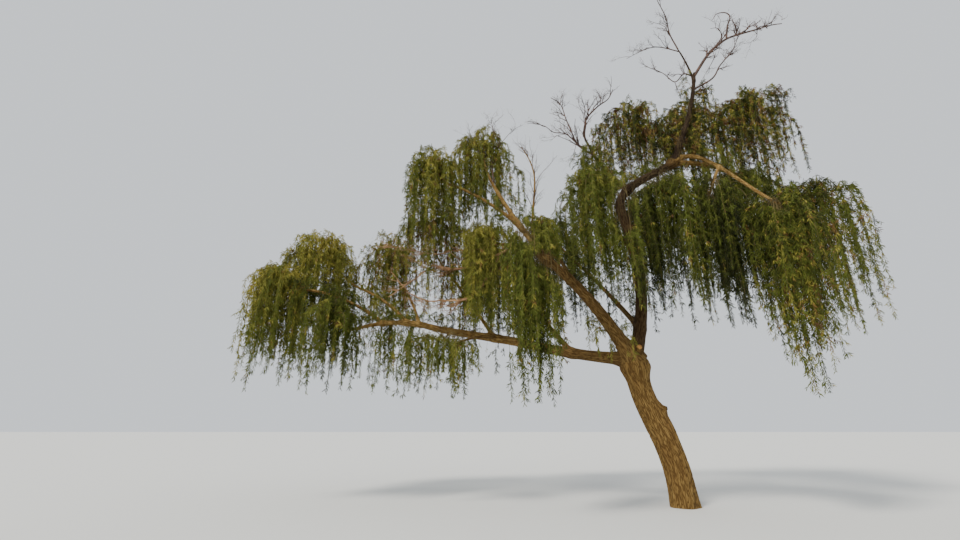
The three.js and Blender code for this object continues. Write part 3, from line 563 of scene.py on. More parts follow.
def bark_look(tree):
    """Dark furrows with painted shade, plates nearly black to tan by the limb's tint, pale wood at a break.
    """
    bark = tree.node("ShaderNodeAttribute", {"attribute_name": "bark"}, {}, out=1)
    tint = tree.node("ShaderNodeAttribute", {"attribute_name": "tint"}, {}, out=2)
    rise = furrows(tree, bark)
    patch = tree.node("ShaderNodeTexNoise", {}, {"Vector": bark, "Scale": 0.35, "Detail": 4.0})
    grain = tree.node("ShaderNodeTexNoise", {}, {
        "Vector": bark, "Scale": 5.0, "Detail": 5.0, "Roughness": 0.65})
    tone = ramp(tree, tint, (0.0, 0.5, 1.0), BARK_TONES)
    shaded = ramp(tree, patch * 0.6 + grain * 0.4, (0.3, 0.5, 0.7), PATCH_TONES)
    plate = mixed(tree, 1.0, tone, shaded, "MULTIPLY")
    # The furrows' bark is darker, and this tone also paints the shade that falls into the furrows.
    furrow_bark_and_shade = mixed(tree, 1.0, tone, (*colour(FURROW_BARK_AND_SHADE_TONE), 1), "MULTIPLY")
    barked = mixed(tree, rise * 0.85 + grain * 0.15, furrow_bark_and_shade, plate)
    fresh = tree.node("ShaderNodeMapRange", {}, {"Value": tint, "From Min": 1.2, "From Max": FRESH_WOOD})
    wood = mixed(tree, fresh, barked, (*colour(BROKEN_TONE), 1))
    bump = tree.node("ShaderNodeBump", {}, {
        "Strength": 0.7, "Distance": 0.006, "Height": rise + grain * 0.5})
    return {"Base Color": wood, "Roughness": 0.97 - rise * 0.12, "Normal": bump, "Specular IOR Level": 0.25}


bark_material = material_of("willow_bark", bark_look)
relief = relief_tree()
trunk_piece = grown("trunk_bark", bark_mesh("trunk_bark", trunk_parts), relief, {**RELIEF, "Seed": 3})
cut = bmesh.new()
cut.from_mesh(trunk_piece.data)
everything = cut.verts[:] + cut.edges[:] + cut.faces[:]
sliced = bmesh.ops.bisect_plane(cut, geom=everything, plane_co=(0, 0, 0), plane_no=(0, 0, 1),
                                clear_inner=True)
rim = [e for e in sliced["geom_cut"] if isinstance(e, bmesh.types.BMEdge)]
for edge in rim:
    edge.smooth = False
bmesh.ops.triangle_fill(cut, edges=rim, normal=(0, 0, -1))
cut.to_mesh(trunk_piece.data)
cut.free()
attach(trunk_piece, "root")
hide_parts("trunk")


# The boughs: long limbs that leave the trunk's fork and each other, each one run of wood with its bark.
# They are tan on the right and far out on the left, browner near the trunk, and the leader is nearly black.
REGIONS = {
    "left_boughs_bark": ["low_left_root", "left_rise", "left_outer", "left_behind", "left_open",
                         "left_under", "back_left"],
    "middle_boughs_bark": ["mid_left_root", "mid_left_rise", "mid_left_far", "mid_left_front", "bare_snag",
                           "back_middle", "front_left", "front_right"],
    "upper_boughs_bark": ["leader_low", "leader_top", "high_left", "top_left", "top_back", "top_right",
                          "top_fork", "under_arch", "right_out", "right_inner", "back_far", "back_right"],
}
BOUGH_FURROWS, BOUGH_REACH, BOUGH_FORK_RINGS = 0.055, 1.1, 40
FIRST_BOUGH, BOUGHS_APART, TRUNK_SAMPLE = 3, 7, 4
for region, names in REGIONS.items():
    made, replaced = [], []
    for number, name in enumerate(names):
        points, radii, chain, tints = runs[name]
        sides = max(LEAST_SIDES, int(math.pi * 2 * radii[0] / SIDE_STEP))
        part = tube(points, np.repeat(radii[:, None], sides, axis=1), chain[0].side, sides,
                    FIRST_BOUGH + BOUGHS_APART * number, BOUGH_FURROWS)
        for places, widths, others, _ in runs.values():
            if others[0].parent in chain:
                near_fork = slice(0, BOUGH_FORK_RINGS)
                fillet(part, places[near_fork], widths[near_fork], BOUGH_REACH * others[0].girth[0])
            elif chain[0].parent in others:
                fillet(part, places, widths, BOUGH_REACH * chain[0].girth[0])
        if name in LOW_FORKS:
            fillet(part, trunk_points[::TRUNK_SAMPLE], trunk_radii.mean(axis=1)[::TRUNK_SAMPLE],
                   FORK_REACH * chain[0].girth[0])
        part["tint"] = np.repeat(tints, sides)
        made.append(part)
        replaced += [link.name for link in chain]
    piece = grown(region, bark_mesh(region, made), relief, {**RELIEF, "Seed": 5})
    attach(piece, "root")
    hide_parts(*replaced)


# The hanging foliage: each mass has twigs that leave its stem, arch over and fall, and on them finer twigs
# that hang beside them, and on both short sprigs. All stay in the mass's own dome and curtain, clear of the
# wood. They are thin yellow-brown wood, and Geometry Nodes give each line its thickness.
TWIG = dict(tries=90, count=15, first=0.35, even=0.5, reach=0.95, turned=0.37, leaves=0.45, lowest_first=0.3,
            apex=0.12, highest=0.32, shoulder=0.12, drop=0.05, ragged=0.3, narrows=1.5, arch=8, bare=0.3)
STRAND = dict(count=4.9, varies=0.5, start=0.12, out=(0.06, 0.4), rise=(0.04, 0.22), over=0.7,
              sinks=(0.3, 0.1), apart=0.8, shorter=(0.1, 0.75), lost=(0.5, 1), outward=0.5, arch=5, bare=0.02)
SPRIG = dict(first=(0.1, 0.3), last=0.05, gap=0.22, uneven=0.08, length=(0.1, 0.27), arching=1.5, over=0.6,
             rise=0.5, out=0.85, fall=(0.75, 0.25), tapers=0.6)
TWIG_RADII, STRAND_RADII, SPRIG_RADII = (0.012, 0.002), (0.0034, 0.0013), (0.002, 0.0011)
TWIG_SIDES, TWIG_TONES = 3, ("4a3e20", "746333")
DISC_STEPS, GOLDEN_STEP = (0.7549, 0.5698), 0.618
FALL_STEP, LEAST_FALL, FALL_DRIFT = 0.2, 0.35, 0.014
SPARE, WOOD_SPARE, FREE_ROOT, WOOD_POINTS, SHOWN_POINTS = 0.1, 0.02, 0.5, 28, 40
# The photo shows these parts of limbs bare, so no leaf hangs in front of them, as seen from the camera.
EYE = np.array((-4.24, -10.47, 1.5))
SHOWN = {"leader_low": (0.93, 1), "leader_mid": (0, 1), "leader_top": (0, 0.95), "right_arch": (0, 1),
         "mid_left_root": (0.15, 1), "mid_left_rise": (0.3, 0.8), "low_left_middle": (0.2, 1),
         "low_left_end": (0, 0.9), "under_arch": (0, 0.75)}
SHOWN_MARGIN = 0.07


def wood_of(parts, count):
    """Points along some parts of limbs, and the wood's radius at each."""
    spans = [(limb, np.linspace(low, high, count)) for limb, (low, high) in parts]
    points = np.concatenate([limb.points(s) for limb, s in spans])
    return points, np.concatenate([limb.radius(s) for limb, s in spans])


all_wood = wood_of([(limb, (0, 1)) for limb in limbs.values()], WOOD_POINTS)
shown_spots, shown_radii = wood_of([(limbs[name], part) for name, part in SHOWN.items()], SHOWN_POINTS)
shown_far = np.linalg.norm(shown_spots - EYE, axis=1)
shown_ways = (shown_spots - EYE) / shown_far[:, None]


def chance(mass, twig, draw):
    """A number between 0 and 1 that looks random and is always the same for the same three."""
    return (math.sin(mass * 12.9898 + twig * 78.233 + draw * 37.719) * 43758.5453) % 1


def clear_of_wood(wood, spots):
    """Whether each spot keeps clear of the boughs, which are given as points and radii."""
    gaps = np.linalg.norm(spots[:, None] - wood[0][None], axis=2) - wood[1][None]
    return gaps.min(axis=1) > WOOD_SPARE


def in_front(spots):
    """Whether each spot hangs in front of a limb that the photo shows free of leaves."""
    away = spots - EYE
    far = np.linalg.norm(away, axis=1)
    apart = away[:, None] / far[:, None, None] - shown_ways[None]
    gap = np.linalg.norm(apart, axis=2) * far[:, None]
    return ((far[:, None] < shown_far) & (gap < shown_radii + SHOWN_MARGIN)).any(axis=1)


def free_in(mass, spots):
    """Whether each spot is in a mass's own room, clear of its wood and not before a limb that shows."""
    return mass.holds(spots, SPARE) & clear_of_wood(mass.wood, spots) & ~in_front(spots)


def bend(start, over, end, count):
    """A curve from a start to an end, pulled towards a third place on its way."""
    s = np.linspace(0, 1, count)[:, None]
    return (1 - s) ** 2 * start + 2 * s * (1 - s) * over + s * s * end


def hanging(mass, arch, lowest, draws):
    """A line that arches over and then falls nearly straight, as far as it stays clear in its own space."""
    fall = arch[-1][2] - lowest
    if fall < LEAST_FALL:
        return None
    steps = np.arange(FALL_STEP, fall, FALL_STEP)
    drift = draws.normal(0, FALL_DRIFT, (len(steps), 2)).cumsum(axis=0)
    falling = np.column_stack([arch[-1][0] + drift[:, 0], arch[-1][1] + drift[:, 1], arch[-1][2] - steps])
    line = np.concatenate([arch, falling])
    near_root = np.linalg.norm(line - line[0], axis=1) < FREE_ROOT
    held = (mass.holds(line, SPARE) | near_root) & within_reach(line) & clear_of_wood(mass.wood, line)
    held[:2] = True
    lost = np.flatnonzero(~held)
    kept = lost[0] if len(lost) else len(line)
    return line[:kept] if kept > len(arch) + 1 else None


def main_twigs(mass, draws):
    """The twigs of a mass by the same rule as in the solids, each with the count of points in its arch."""
    lines = []
    for index in range(TWIG["tries"]):
        if len(lines) >= TWIG["count"] * mass.full:
            break
        away = (TWIG["first"] + index * DISC_STEPS[0]) % 1
        away = away ** (TWIG["even"] + mass.tongue) * TWIG["reach"]
        bearing = 2 * math.pi * ((mass.number * TWIG["turned"] + index * DISC_STEPS[1]) % 1)
        place = mass.middle + mass.spread * away * np.array((math.cos(bearing), math.sin(bearing)))
        dome = mass.dome_height(np.array([[*place, 0]]))[0]
        higher = (index * GOLDEN_STEP + TWIG["lowest_first"]) % 1
        leaves = TWIG["leaves"] + (1 - TWIG["leaves"]) * higher
        root = mass.stem(leaves)[0]
        shoulder = min(dome - TWIG["shoulder"] * mass.height, root[2] - TWIG["drop"] * mass.height)
        ragged = TWIG["ragged"] * chance(mass.number, index, 2) ** 2 * (1 - mass.tongue)
        lowest = mass.bottom + (ragged + mass.tongue * away ** TWIG["narrows"]) * mass.height
        apex = np.array([*place, dome + min(TWIG["apex"] * mass.height, TWIG["highest"])])
        arch = bend(root, apex, np.array([*place, shoulder]), TWIG["arch"])
        line = hanging(mass, arch, lowest, draws)
        if line is not None:
            lines.append((line, len(arch)))
    return lines


def strands(mass, line, arched, draws):
    """Finer twigs that leave the arch of a twig and hang beside it, shorter the farther they are from it."""
    made = []
    outward = unit(line[arched - 1] - line[0]) * (1, 1, 0)
    for _ in range(round(STRAND["count"] + draws.uniform(-STRAND["varies"], STRAND["varies"]))):
        at = draws.uniform(STRAND["start"], 1) * (arched - 1)
        root = line[int(at)] + (line[int(at) + 1] - line[int(at)]) * (at % 1)
        turn = draws.uniform(0, 2 * math.pi)
        way = np.array((math.cos(turn), math.sin(turn), 0)) + STRAND["outward"] * outward
        out = draws.uniform(*STRAND["out"])
        over = root + way * out * STRAND["over"] + UP * draws.uniform(*STRAND["rise"])
        end = root + way * out - UP * (STRAND["sinks"][0] * out + STRAND["sinks"][1])
        apart = min(1, np.linalg.norm((end - line[-1])[:2]) / STRAND["apart"])
        low, high = STRAND["shorter"]
        lost = (low + (high - low) * apart) * draws.uniform(*STRAND["lost"]) * (root[2] - line[-1][2])
        lowest = max(mass.bottom, line[-1][2] + lost)
        strand = hanging(mass, bend(root, over, end, STRAND["arch"]), lowest, draws)
        if strand is not None:
            made.append((strand, STRAND["arch"]))
    return made


def sprigs(lines, free, draws):
    """Short leafy twigs all along the longer ones. They rise and bend over on an arch and hang below it."""
    roots, falls = [], []
    for line, arched in lines:
        lengths = np.concatenate([[0], np.linalg.norm(np.diff(line, axis=0), axis=1).cumsum()])
        places = np.arange(draws.uniform(*SPRIG["first"]), lengths[-1] - SPRIG["last"], SPRIG["gap"])
        places = places + draws.uniform(-SPRIG["uneven"], SPRIG["uneven"], len(places))
        roots.append(np.column_stack([np.interp(places, lengths, line[:, k]) for k in range(3)]))
        top = lengths[arched - 1]
        falls.append((places - top) / (lengths[-1] - top))
    roots, falls = np.concatenate(roots), np.concatenate(falls)
    arching = falls < 0
    turn = draws.uniform(0, 2 * np.pi, len(roots))
    way = np.column_stack([np.cos(turn), np.sin(turn), np.zeros(len(roots))])
    length = draws.uniform(*SPRIG["length"], len(roots)) * (1 - SPRIG["tapers"] * np.maximum(falls, 0))
    length = (length * np.where(arching, SPRIG["arching"], 1))[:, None]
    over = roots + way * length * SPRIG["over"] + UP * length * SPRIG["rise"]
    fall = np.where(arching, SPRIG["fall"][1], SPRIG["fall"][0])[:, None]
    end = roots + way * length * SPRIG["out"] - UP * length * fall
    made = []
    for k in np.flatnonzero(free(end) & within_reach(end)):
        line = [roots[k], over[k], end[k]] if arching[k] else [roots[k], end[k]]
        made.append((np.array(line), 0))
    return made


# The leaves' shades run from dark green over olive to yellow, with a tan and a brown at the end. A look gives
# a mass its middle shade, how far its top and its underside are apart in shade, the share of its sprays that
# have turned tan or brown, most of all in the upper crown, and the share of its twigs that bear leaves. Part
# of
# this is painted light and shade: sunlit masses on the left get lighter shades, shaded masses inside and at
# the back of the crown darker ones. The change from underside to top is partly real yellowing, partly painted
# light.
LEAF_SHADES = ["22280d", "373e13", "4a5119", "576022", "696c2b", "828036", "9c9340", "785c32", "583e26"]
LOOKS = {
    "golden": dict(level=4.2, top=3.2, tan=0.03, cover=1.0),
    "olive": dict(level=2.9, top=1.6, tan=0.03, cover=1.0),
    "shaded_green": dict(level=1.2, top=1.6, tan=0.02, cover=1.0),
    "fresh": dict(level=2.6, top=1.6, tan=0.02, cover=1.0),
    "sunlit": dict(level=3.9, top=1.8, tan=0.04, cover=1.0),
    "dull": dict(level=2.3, top=-1.6, tan=0.16, cover=1.0),
    "russet": dict(level=0.9, top=0.8, tan=0.4, cover=0.95),
    "open": dict(level=3.1, top=1.6, tan=0.34, cover=0.55),
}
GREENS, CLUMPS_DIFFER, SPRAYS_DIFFER = 7, 0.6, 0.8
LEAF_SIZE, LEAF_SHRINKS, TWIG_TAPER = 1.1, 0.35, 0.6


def dressed(look, line, radii, levels, bare, draws):
    """A line with its thickness, its leaf size and the shade of each of its sprays."""
    look = LOOKS[look]
    count = len(line)
    s = np.linspace(0, 1, count)
    covered = draws.random() < look["cover"]
    leafy = np.where((s < bare) | (not covered), 0, LEAF_SIZE - LEAF_SHRINKS * s)
    levels = levels + draws.normal(0, SPRAYS_DIFFER, count)
    shades = np.clip(levels.round(), 0, GREENS - 1)
    shades = np.where(draws.random(count) < look["tan"], GREENS + (levels < look["level"]), shades)
    thick = radii[0] + (radii[1] - radii[0]) * s ** TWIG_TAPER
    return {"points": line, "thick": thick, "leafy": leafy, "shade": shades}


def line_mesh(name, lines):
    """One mesh of edges for many lines, with the thickness, the leaf size and the shade at each point."""
    mesh = bpy.data.meshes.new(name)
    points = np.concatenate([line["points"] for line in lines])
    ends = np.cumsum([len(line["points"]) for line in lines])
    first = np.arange(len(points) - 1)
    edges = np.column_stack([first, first + 1])[~np.isin(first + 1, ends)]
    mesh.from_pydata(points, edges, [])
    for label, kind in (("thick", "FLOAT"), ("leafy", "FLOAT"), ("shade", "INT")):
        values = np.concatenate([line[label] for line in lines])
        layer = mesh.attributes.new(label, kind, "POINT")
        layer.data.foreach_set("value", values.astype(np.int32 if kind == "INT" else np.float32))
    return mesh


def twig_tree(name, sides, material):
    """Turns a mesh of edges into tubes, as thick at each point as the mesh says."""
    tree, sizes = geometry_tree(name, ["Thickness"])
    curve = tree.node("GeometryNodeMeshToCurve", {}, {"Mesh": sizes["Geometry"]})
    ring = tree.node("GeometryNodeCurvePrimitiveCircle", {}, {"Resolution": sides, "Radius": 1.0})
    scale = attribute(tree, "thick") * sizes["Thickness"]
    round_twig = tree.node("GeometryNodeCurveToMesh", {}, {
        "Curve": curve, "Profile Curve": ring, "Scale": scale, "Fill Caps": True})
    realized = tree.node("GeometryNodeRealizeInstances", {}, {"Geometry": round_twig})
    painted = tree.node("GeometryNodeSetMaterial", {}, {"Geometry": realized, "Material": material})
    return close_tree(tree, painted)


def twig_material(name, tones):
    """Thin bark: smooth, with a mottle of two browns along the twig."""
    def look(tree):
        place = tree.node("ShaderNodeTexCoord", {}, {}, out=3)
        mottle = tree.node("ShaderNodeTexNoise", {}, {"Vector": place, "Scale": 5.0, "Detail": 3.0})
        skin = ramp(tree, mottle, (0.35, 0.65), tones)
        return {"Base Color": skin, "Roughness": 0.9 - mottle * 0.25}

    return material_of(name, look)


# The leaves: narrow willow leaves along every hanging twig, each a blade folded along its midrib, which
# hangs from its twig. They are as long as a real willow's and somewhat wider. Geometry Nodes set them
# along the lines.
LEAF = {"Leaf length": 0.105, "Leaf width": 0.021, "Widest": 0.3, "Fold": 0.6, "Curl": 0.12, "Gap": 0.016,
        "Turn": 2.4, "Tilt": 0.65, "Hang": 0.9, "Seed": 11}
LEAST_LEAF = 0.5
PIECES = {
    "far_left": ["left_tip", "left_inner", "left_under"],
    "left": ["left_behind", "left_open", "low_left", "middle_left", "high_left_outer", "high_left"],
    "middle": ["front_left", "front_middle", "front_centre", "under_arch"],
    "top": ["top_left", "top_back", "top_right"],
    "right": ["right_inner", "right_tip", "front_right"],
    "back_left": ["back_left", "back_middle"],
    "back_right": ["back_right", "back_far_right"],
}


def leaf_tree(materials):
    """Sets leaves along a mesh of edges, each turned round its twig and in the shade that the mesh gives."""
    tree, sizes = geometry_tree("willow_leaves", list(LEAF))
    curve = tree.node("GeometryNodeMeshToCurve", {}, {"Mesh": sizes["Geometry"]})
    spots = tree.node("GeometryNodeResampleCurve", {"mode": "LENGTH"}, {
        "Curve": curve, "Length": sizes["Gap"]})
    disc = tree.node("GeometryNodeMeshCircle", {"fill_type": "NGON"}, {"Vertices": 4, "Radius": 0.5})
    halves = tree.node("GeometryNodeTriangulate", {"quad_method": "FIXED_ALTERNATE"}, {"Mesh": disc})
    place = tree.node("GeometryNodeInputPosition", {}, {})
    parts = tree.node("ShaderNodeSeparateXYZ", {}, {"Vector": place})
    x, y = parts, Socket(tree.tree, parts.socket.node.outputs[1])
    along = y + 0.5
    blade = tree.node("ShaderNodeCombineXYZ", {}, {
        "X": x * sizes["Leaf width"],
        "Y": (along - (0.25 - y * y) * sizes["Widest"]) * sizes["Leaf length"],
        "Z": abs(x) * sizes["Leaf width"] * sizes["Fold"]
             - along * along * sizes["Leaf length"] * sizes["Curl"]})
    leaf = tree.node("GeometryNodeSetPosition", {}, {"Geometry": halves, "Position": blade})
    index = tree.node("GeometryNodeInputIndex", {}, {})

    def draw(low, high, offset):
        return tree.node("FunctionNodeRandomValue", {"data_type": "FLOAT"}, {
            "Min": low, "Max": high, "ID": index, "Seed": sizes["Seed"] + offset})

    tangent = tree.node("GeometryNodeInputTangent", {}, {})
    down = tree.node("ShaderNodeCombineXYZ", {}, {"Z": sizes["Hang"] * -1})
    heading = tree.node("ShaderNodeVectorMath", {"operation": "ADD"}, {0: tangent, 1: down})
    turn = tree.node("FunctionNodeAlignRotationToVector", {"axis": "Y"}, {"Vector": heading})
    for axis, angle in (((0, 1, 0), index * sizes["Turn"] + draw(-0.6, 0.6, 1)),
                        ((1, 0, 0), sizes["Tilt"] * draw(0.3, 1.7, 2)),
                        ((0, 1, 0), draw(-1.4, 1.4, 3))):
        step = tree.node("FunctionNodeAxisAngleToRotation", {}, {"Axis": axis, "Angle": angle})
        turn = tree.node("FunctionNodeRotateRotation", {"rotation_space": "LOCAL"}, {
            "Rotation": turn, "Rotate By": step})
    size = attribute(tree, "leafy")
    chosen = tree.node("FunctionNodeCompare", {"operation": "GREATER_THAN"}, {"A": size, "B": LEAST_LEAF})
    placed = tree.node("GeometryNodeInstanceOnPoints", {}, {
        "Points": spots, "Selection": chosen, "Instance": leaf, "Rotation": turn,
        "Scale": size * draw(0.7, 1.2, 4)})
    made = tree.node("GeometryNodeRealizeInstances", {}, {"Geometry": placed})
    shade = attribute(tree, "shade", "INT")
    for number, material in enumerate(materials):
        dealt = tree.node("FunctionNodeCompare", {"data_type": "INT", "operation": "EQUAL"},
                          {"A": shade, "B": number})
        made = tree.node("GeometryNodeSetMaterial", {}, {
            "Geometry": made, "Selection": dealt, "Material": material})
    return close_tree(tree, made)


# Leafy shoots that grow straight from the boughs between the masses, with sprigs of their own: for each
# limb the piece they belong to, the part of the limb, how many, how far they fall and their look.
SHOOTS = [
    ("mid_left_root", "middle", (0.06, 0.3), 12, (0.25, 0.7), "golden"),
    ("mid_left_root", "middle", (0.5, 1), 14, (0.3, 0.8), "olive"),
    ("leader_low", "middle", (0.4, 1), 20, (0.4, 1.1), "shaded_green"),
    ("leader_mid", "top", (0.1, 1), 40, (0.4, 1.3), "olive"),
    ("right_arch", "right", (0.1, 0.8), 24, (0.3, 1.0), "olive"),
    ("leader_top", "top", (0.08, 0.85), 66, (0.4, 1.2), "russet"),
    ("high_left", "top", (0.1, 0.95), 26, (0.5, 1.8), "russet"),
    ("high_left", "top", (0.65, 1), 10, (1.2, 2.4), "olive"),
    ("top_left", "top", (0.1, 1), 24, (0.4, 1.3), "russet"),
    ("top_right", "top", (0.1, 1), 26, (0.4, 1.3), "russet"),
    ("top_back", "top", (0.2, 1), 16, (0.4, 1.3), "russet"),
    ("right_out", "right", (0.3, 1), 22, (0.4, 1.2), "dull"),
    ("back_left", "back_left", (0.3, 1), 12, (0.5, 1.6), "shaded_green"),
    ("back_middle", "back_left", (0.3, 1), 12, (0.5, 1.6), "shaded_green"),
    ("back_right", "back_right", (0.3, 1), 12, (0.5, 1.6), "shaded_green"),
    ("back_far", "back_right", (0.3, 1), 8, (0.4, 1.4), "olive"),
    ("low_left_middle", "left", (0.1, 1), 22, (0.3, 1), "olive"),
    ("low_left_end", "far_left", (0, 0.95), 46, (0.6, 1.7), "olive"),
    ("left_rise", "far_left", (0.3, 1), 14, (0.4, 1.2), "golden"),
    ("left_outer", "far_left", (0.2, 1), 30, (0.4, 1.4), "olive"),
    ("mid_left_rise", "left", (0.1, 0.9), 14, (0.2, 0.6), "olive"),
    ("mid_left_far", "left", (0.2, 1), 8, (0.2, 0.7), "olive"),
    ("left_open", "left", (0.35, 1), 22, (0.5, 1.6), "open"),
    ("left_behind", "left", (0.2, 1), 8, (0.2, 0.8), "open"),
]
SHOOT = dict(inside=0.95, out=(0.08, 0.5), rise=(0.05, 0.3), over=0.08, sinks=0.15, step=0.1, drift=0.01,
             arch=5, root=3, bare=0.1)
NEAR_WOOD, FIRST_SEED = 1, 100


def shoots_on(limb, low, high, count, fall, draws):
    """Lines that leave a limb's side, arch over at once and hang."""
    made = []
    for _ in range(count):
        s = draws.uniform(low, high)
        turn = draws.uniform(0, 2 * math.pi)
        out = np.array((math.cos(turn), math.sin(turn), 0))
        root = limb.points(s)[0] + out * limb.radius(s)[0] * SHOOT["inside"]
        over = root + out * draws.uniform(*SHOOT["out"]) + UP * draws.uniform(*SHOOT["rise"])
        arch = bend(root, over, over + out * SHOOT["over"] - UP * SHOOT["sinks"], SHOOT["arch"])
        steps = np.arange(SHOOT["step"], draws.uniform(*fall), SHOOT["step"])[:, None]
        drift = draws.normal(0, SHOOT["drift"], (len(steps), 3)).cumsum(axis=0)
        line = np.concatenate([arch, arch[-1] - steps * UP + drift])
        if clear_of_wood(all_wood, line[SHOOT["root"]:]).all() and within_reach(line).all():
            made.append((line, SHOOT["arch"]))
    return made


def mass_lines(mass, draws):
    """Every twig, finer twig and sprig of a mass, with its thickness, its leaves and its shades."""
    near = np.linalg.norm(all_wood[0][:, :2] - mass.middle, axis=1) < mass.spread + NEAR_WOOD
    mass.wood = all_wood[0][near], all_wood[1][near]
    look = LOOKS[mass.look]
    lines = []
    for main in main_twigs(mass, draws):
        level = look["level"] + draws.normal(0, CLUMPS_DIFFER)
        beside = strands(mass, *main, draws)
        short = sprigs([main, *beside], lambda spots: free_in(mass, spots), draws)
        bare = TWIG["bare"] * main[1] / len(main[0])
        for group, radii, bared in (([main], TWIG_RADII, bare), (beside, STRAND_RADII, STRAND["bare"]),
                                    (short, SPRIG_RADII, 0)):
            for line, _ in group:
                # The shade changes with the height in the mass: partly real yellowing, partly painted light
                # and shade.
                rise = (line[:, 2] - mass.bottom) / mass.height - 0.5
                lines.append(dressed(mass.look, line, radii, level + look["top"] * rise, bared, draws))
    return lines


def shoot_lines(region, draws):
    """Every leafy shoot of a piece, with its sprigs."""
    lines = []
    for name, piece_region, (low, high), count, fall, look in SHOOTS:
        if piece_region == region:
            level = LOOKS[look]["level"] + draws.normal(0, CLUMPS_DIFFER)
            shoots = shoots_on(limbs[name], low, high, count, fall, draws)
            short = sprigs(shoots, lambda spots: clear_of_wood(all_wood, spots), draws)
            lines += [dressed(look, line, STRAND_RADII, level, SHOOT["bare"], draws) for line, _ in shoots]
            lines += [dressed(look, line, SPRIG_RADII, level, 0, draws) for line, _ in short]
    return lines


leaf_materials = []
for number, code in enumerate(LEAF_SHADES):
    leaf_look = {"Base Color": (*colour(code), 1), "Roughness": 0.7, "Specular IOR Level": 0.2}
    leaf_materials.append(material_of(f"leaf_shade_{number}", lambda tree: leaf_look))
leaves = leaf_tree(leaf_materials)
twigs = twig_tree("hanging_twigs", TWIG_SIDES, twig_material("twig_bark", TWIG_TONES))

named = {mass.name: mass for mass in masses}
for region, names in PIECES.items():
    lines = []
    for name in names:
        mass = named[name]
        lines += mass_lines(mass, np.random.default_rng(FIRST_SEED + mass.number))
    lines += shoot_lines(region, np.random.default_rng(len(lines)))
    for line in lines:
        line["leafy"][in_front(line["points"])] = 0
    nodes = ["foliage_" + name for name in names]
    for kind, tree, sizes in (("leaves", leaves, LEAF), ("twigs", twigs, {"Thickness": 1.0})):
        piece = grown(f"{region}_{kind}", line_mesh(f"{region}_{kind}", lines), tree, sizes)
        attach(piece, "root")
        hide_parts(*nodes)


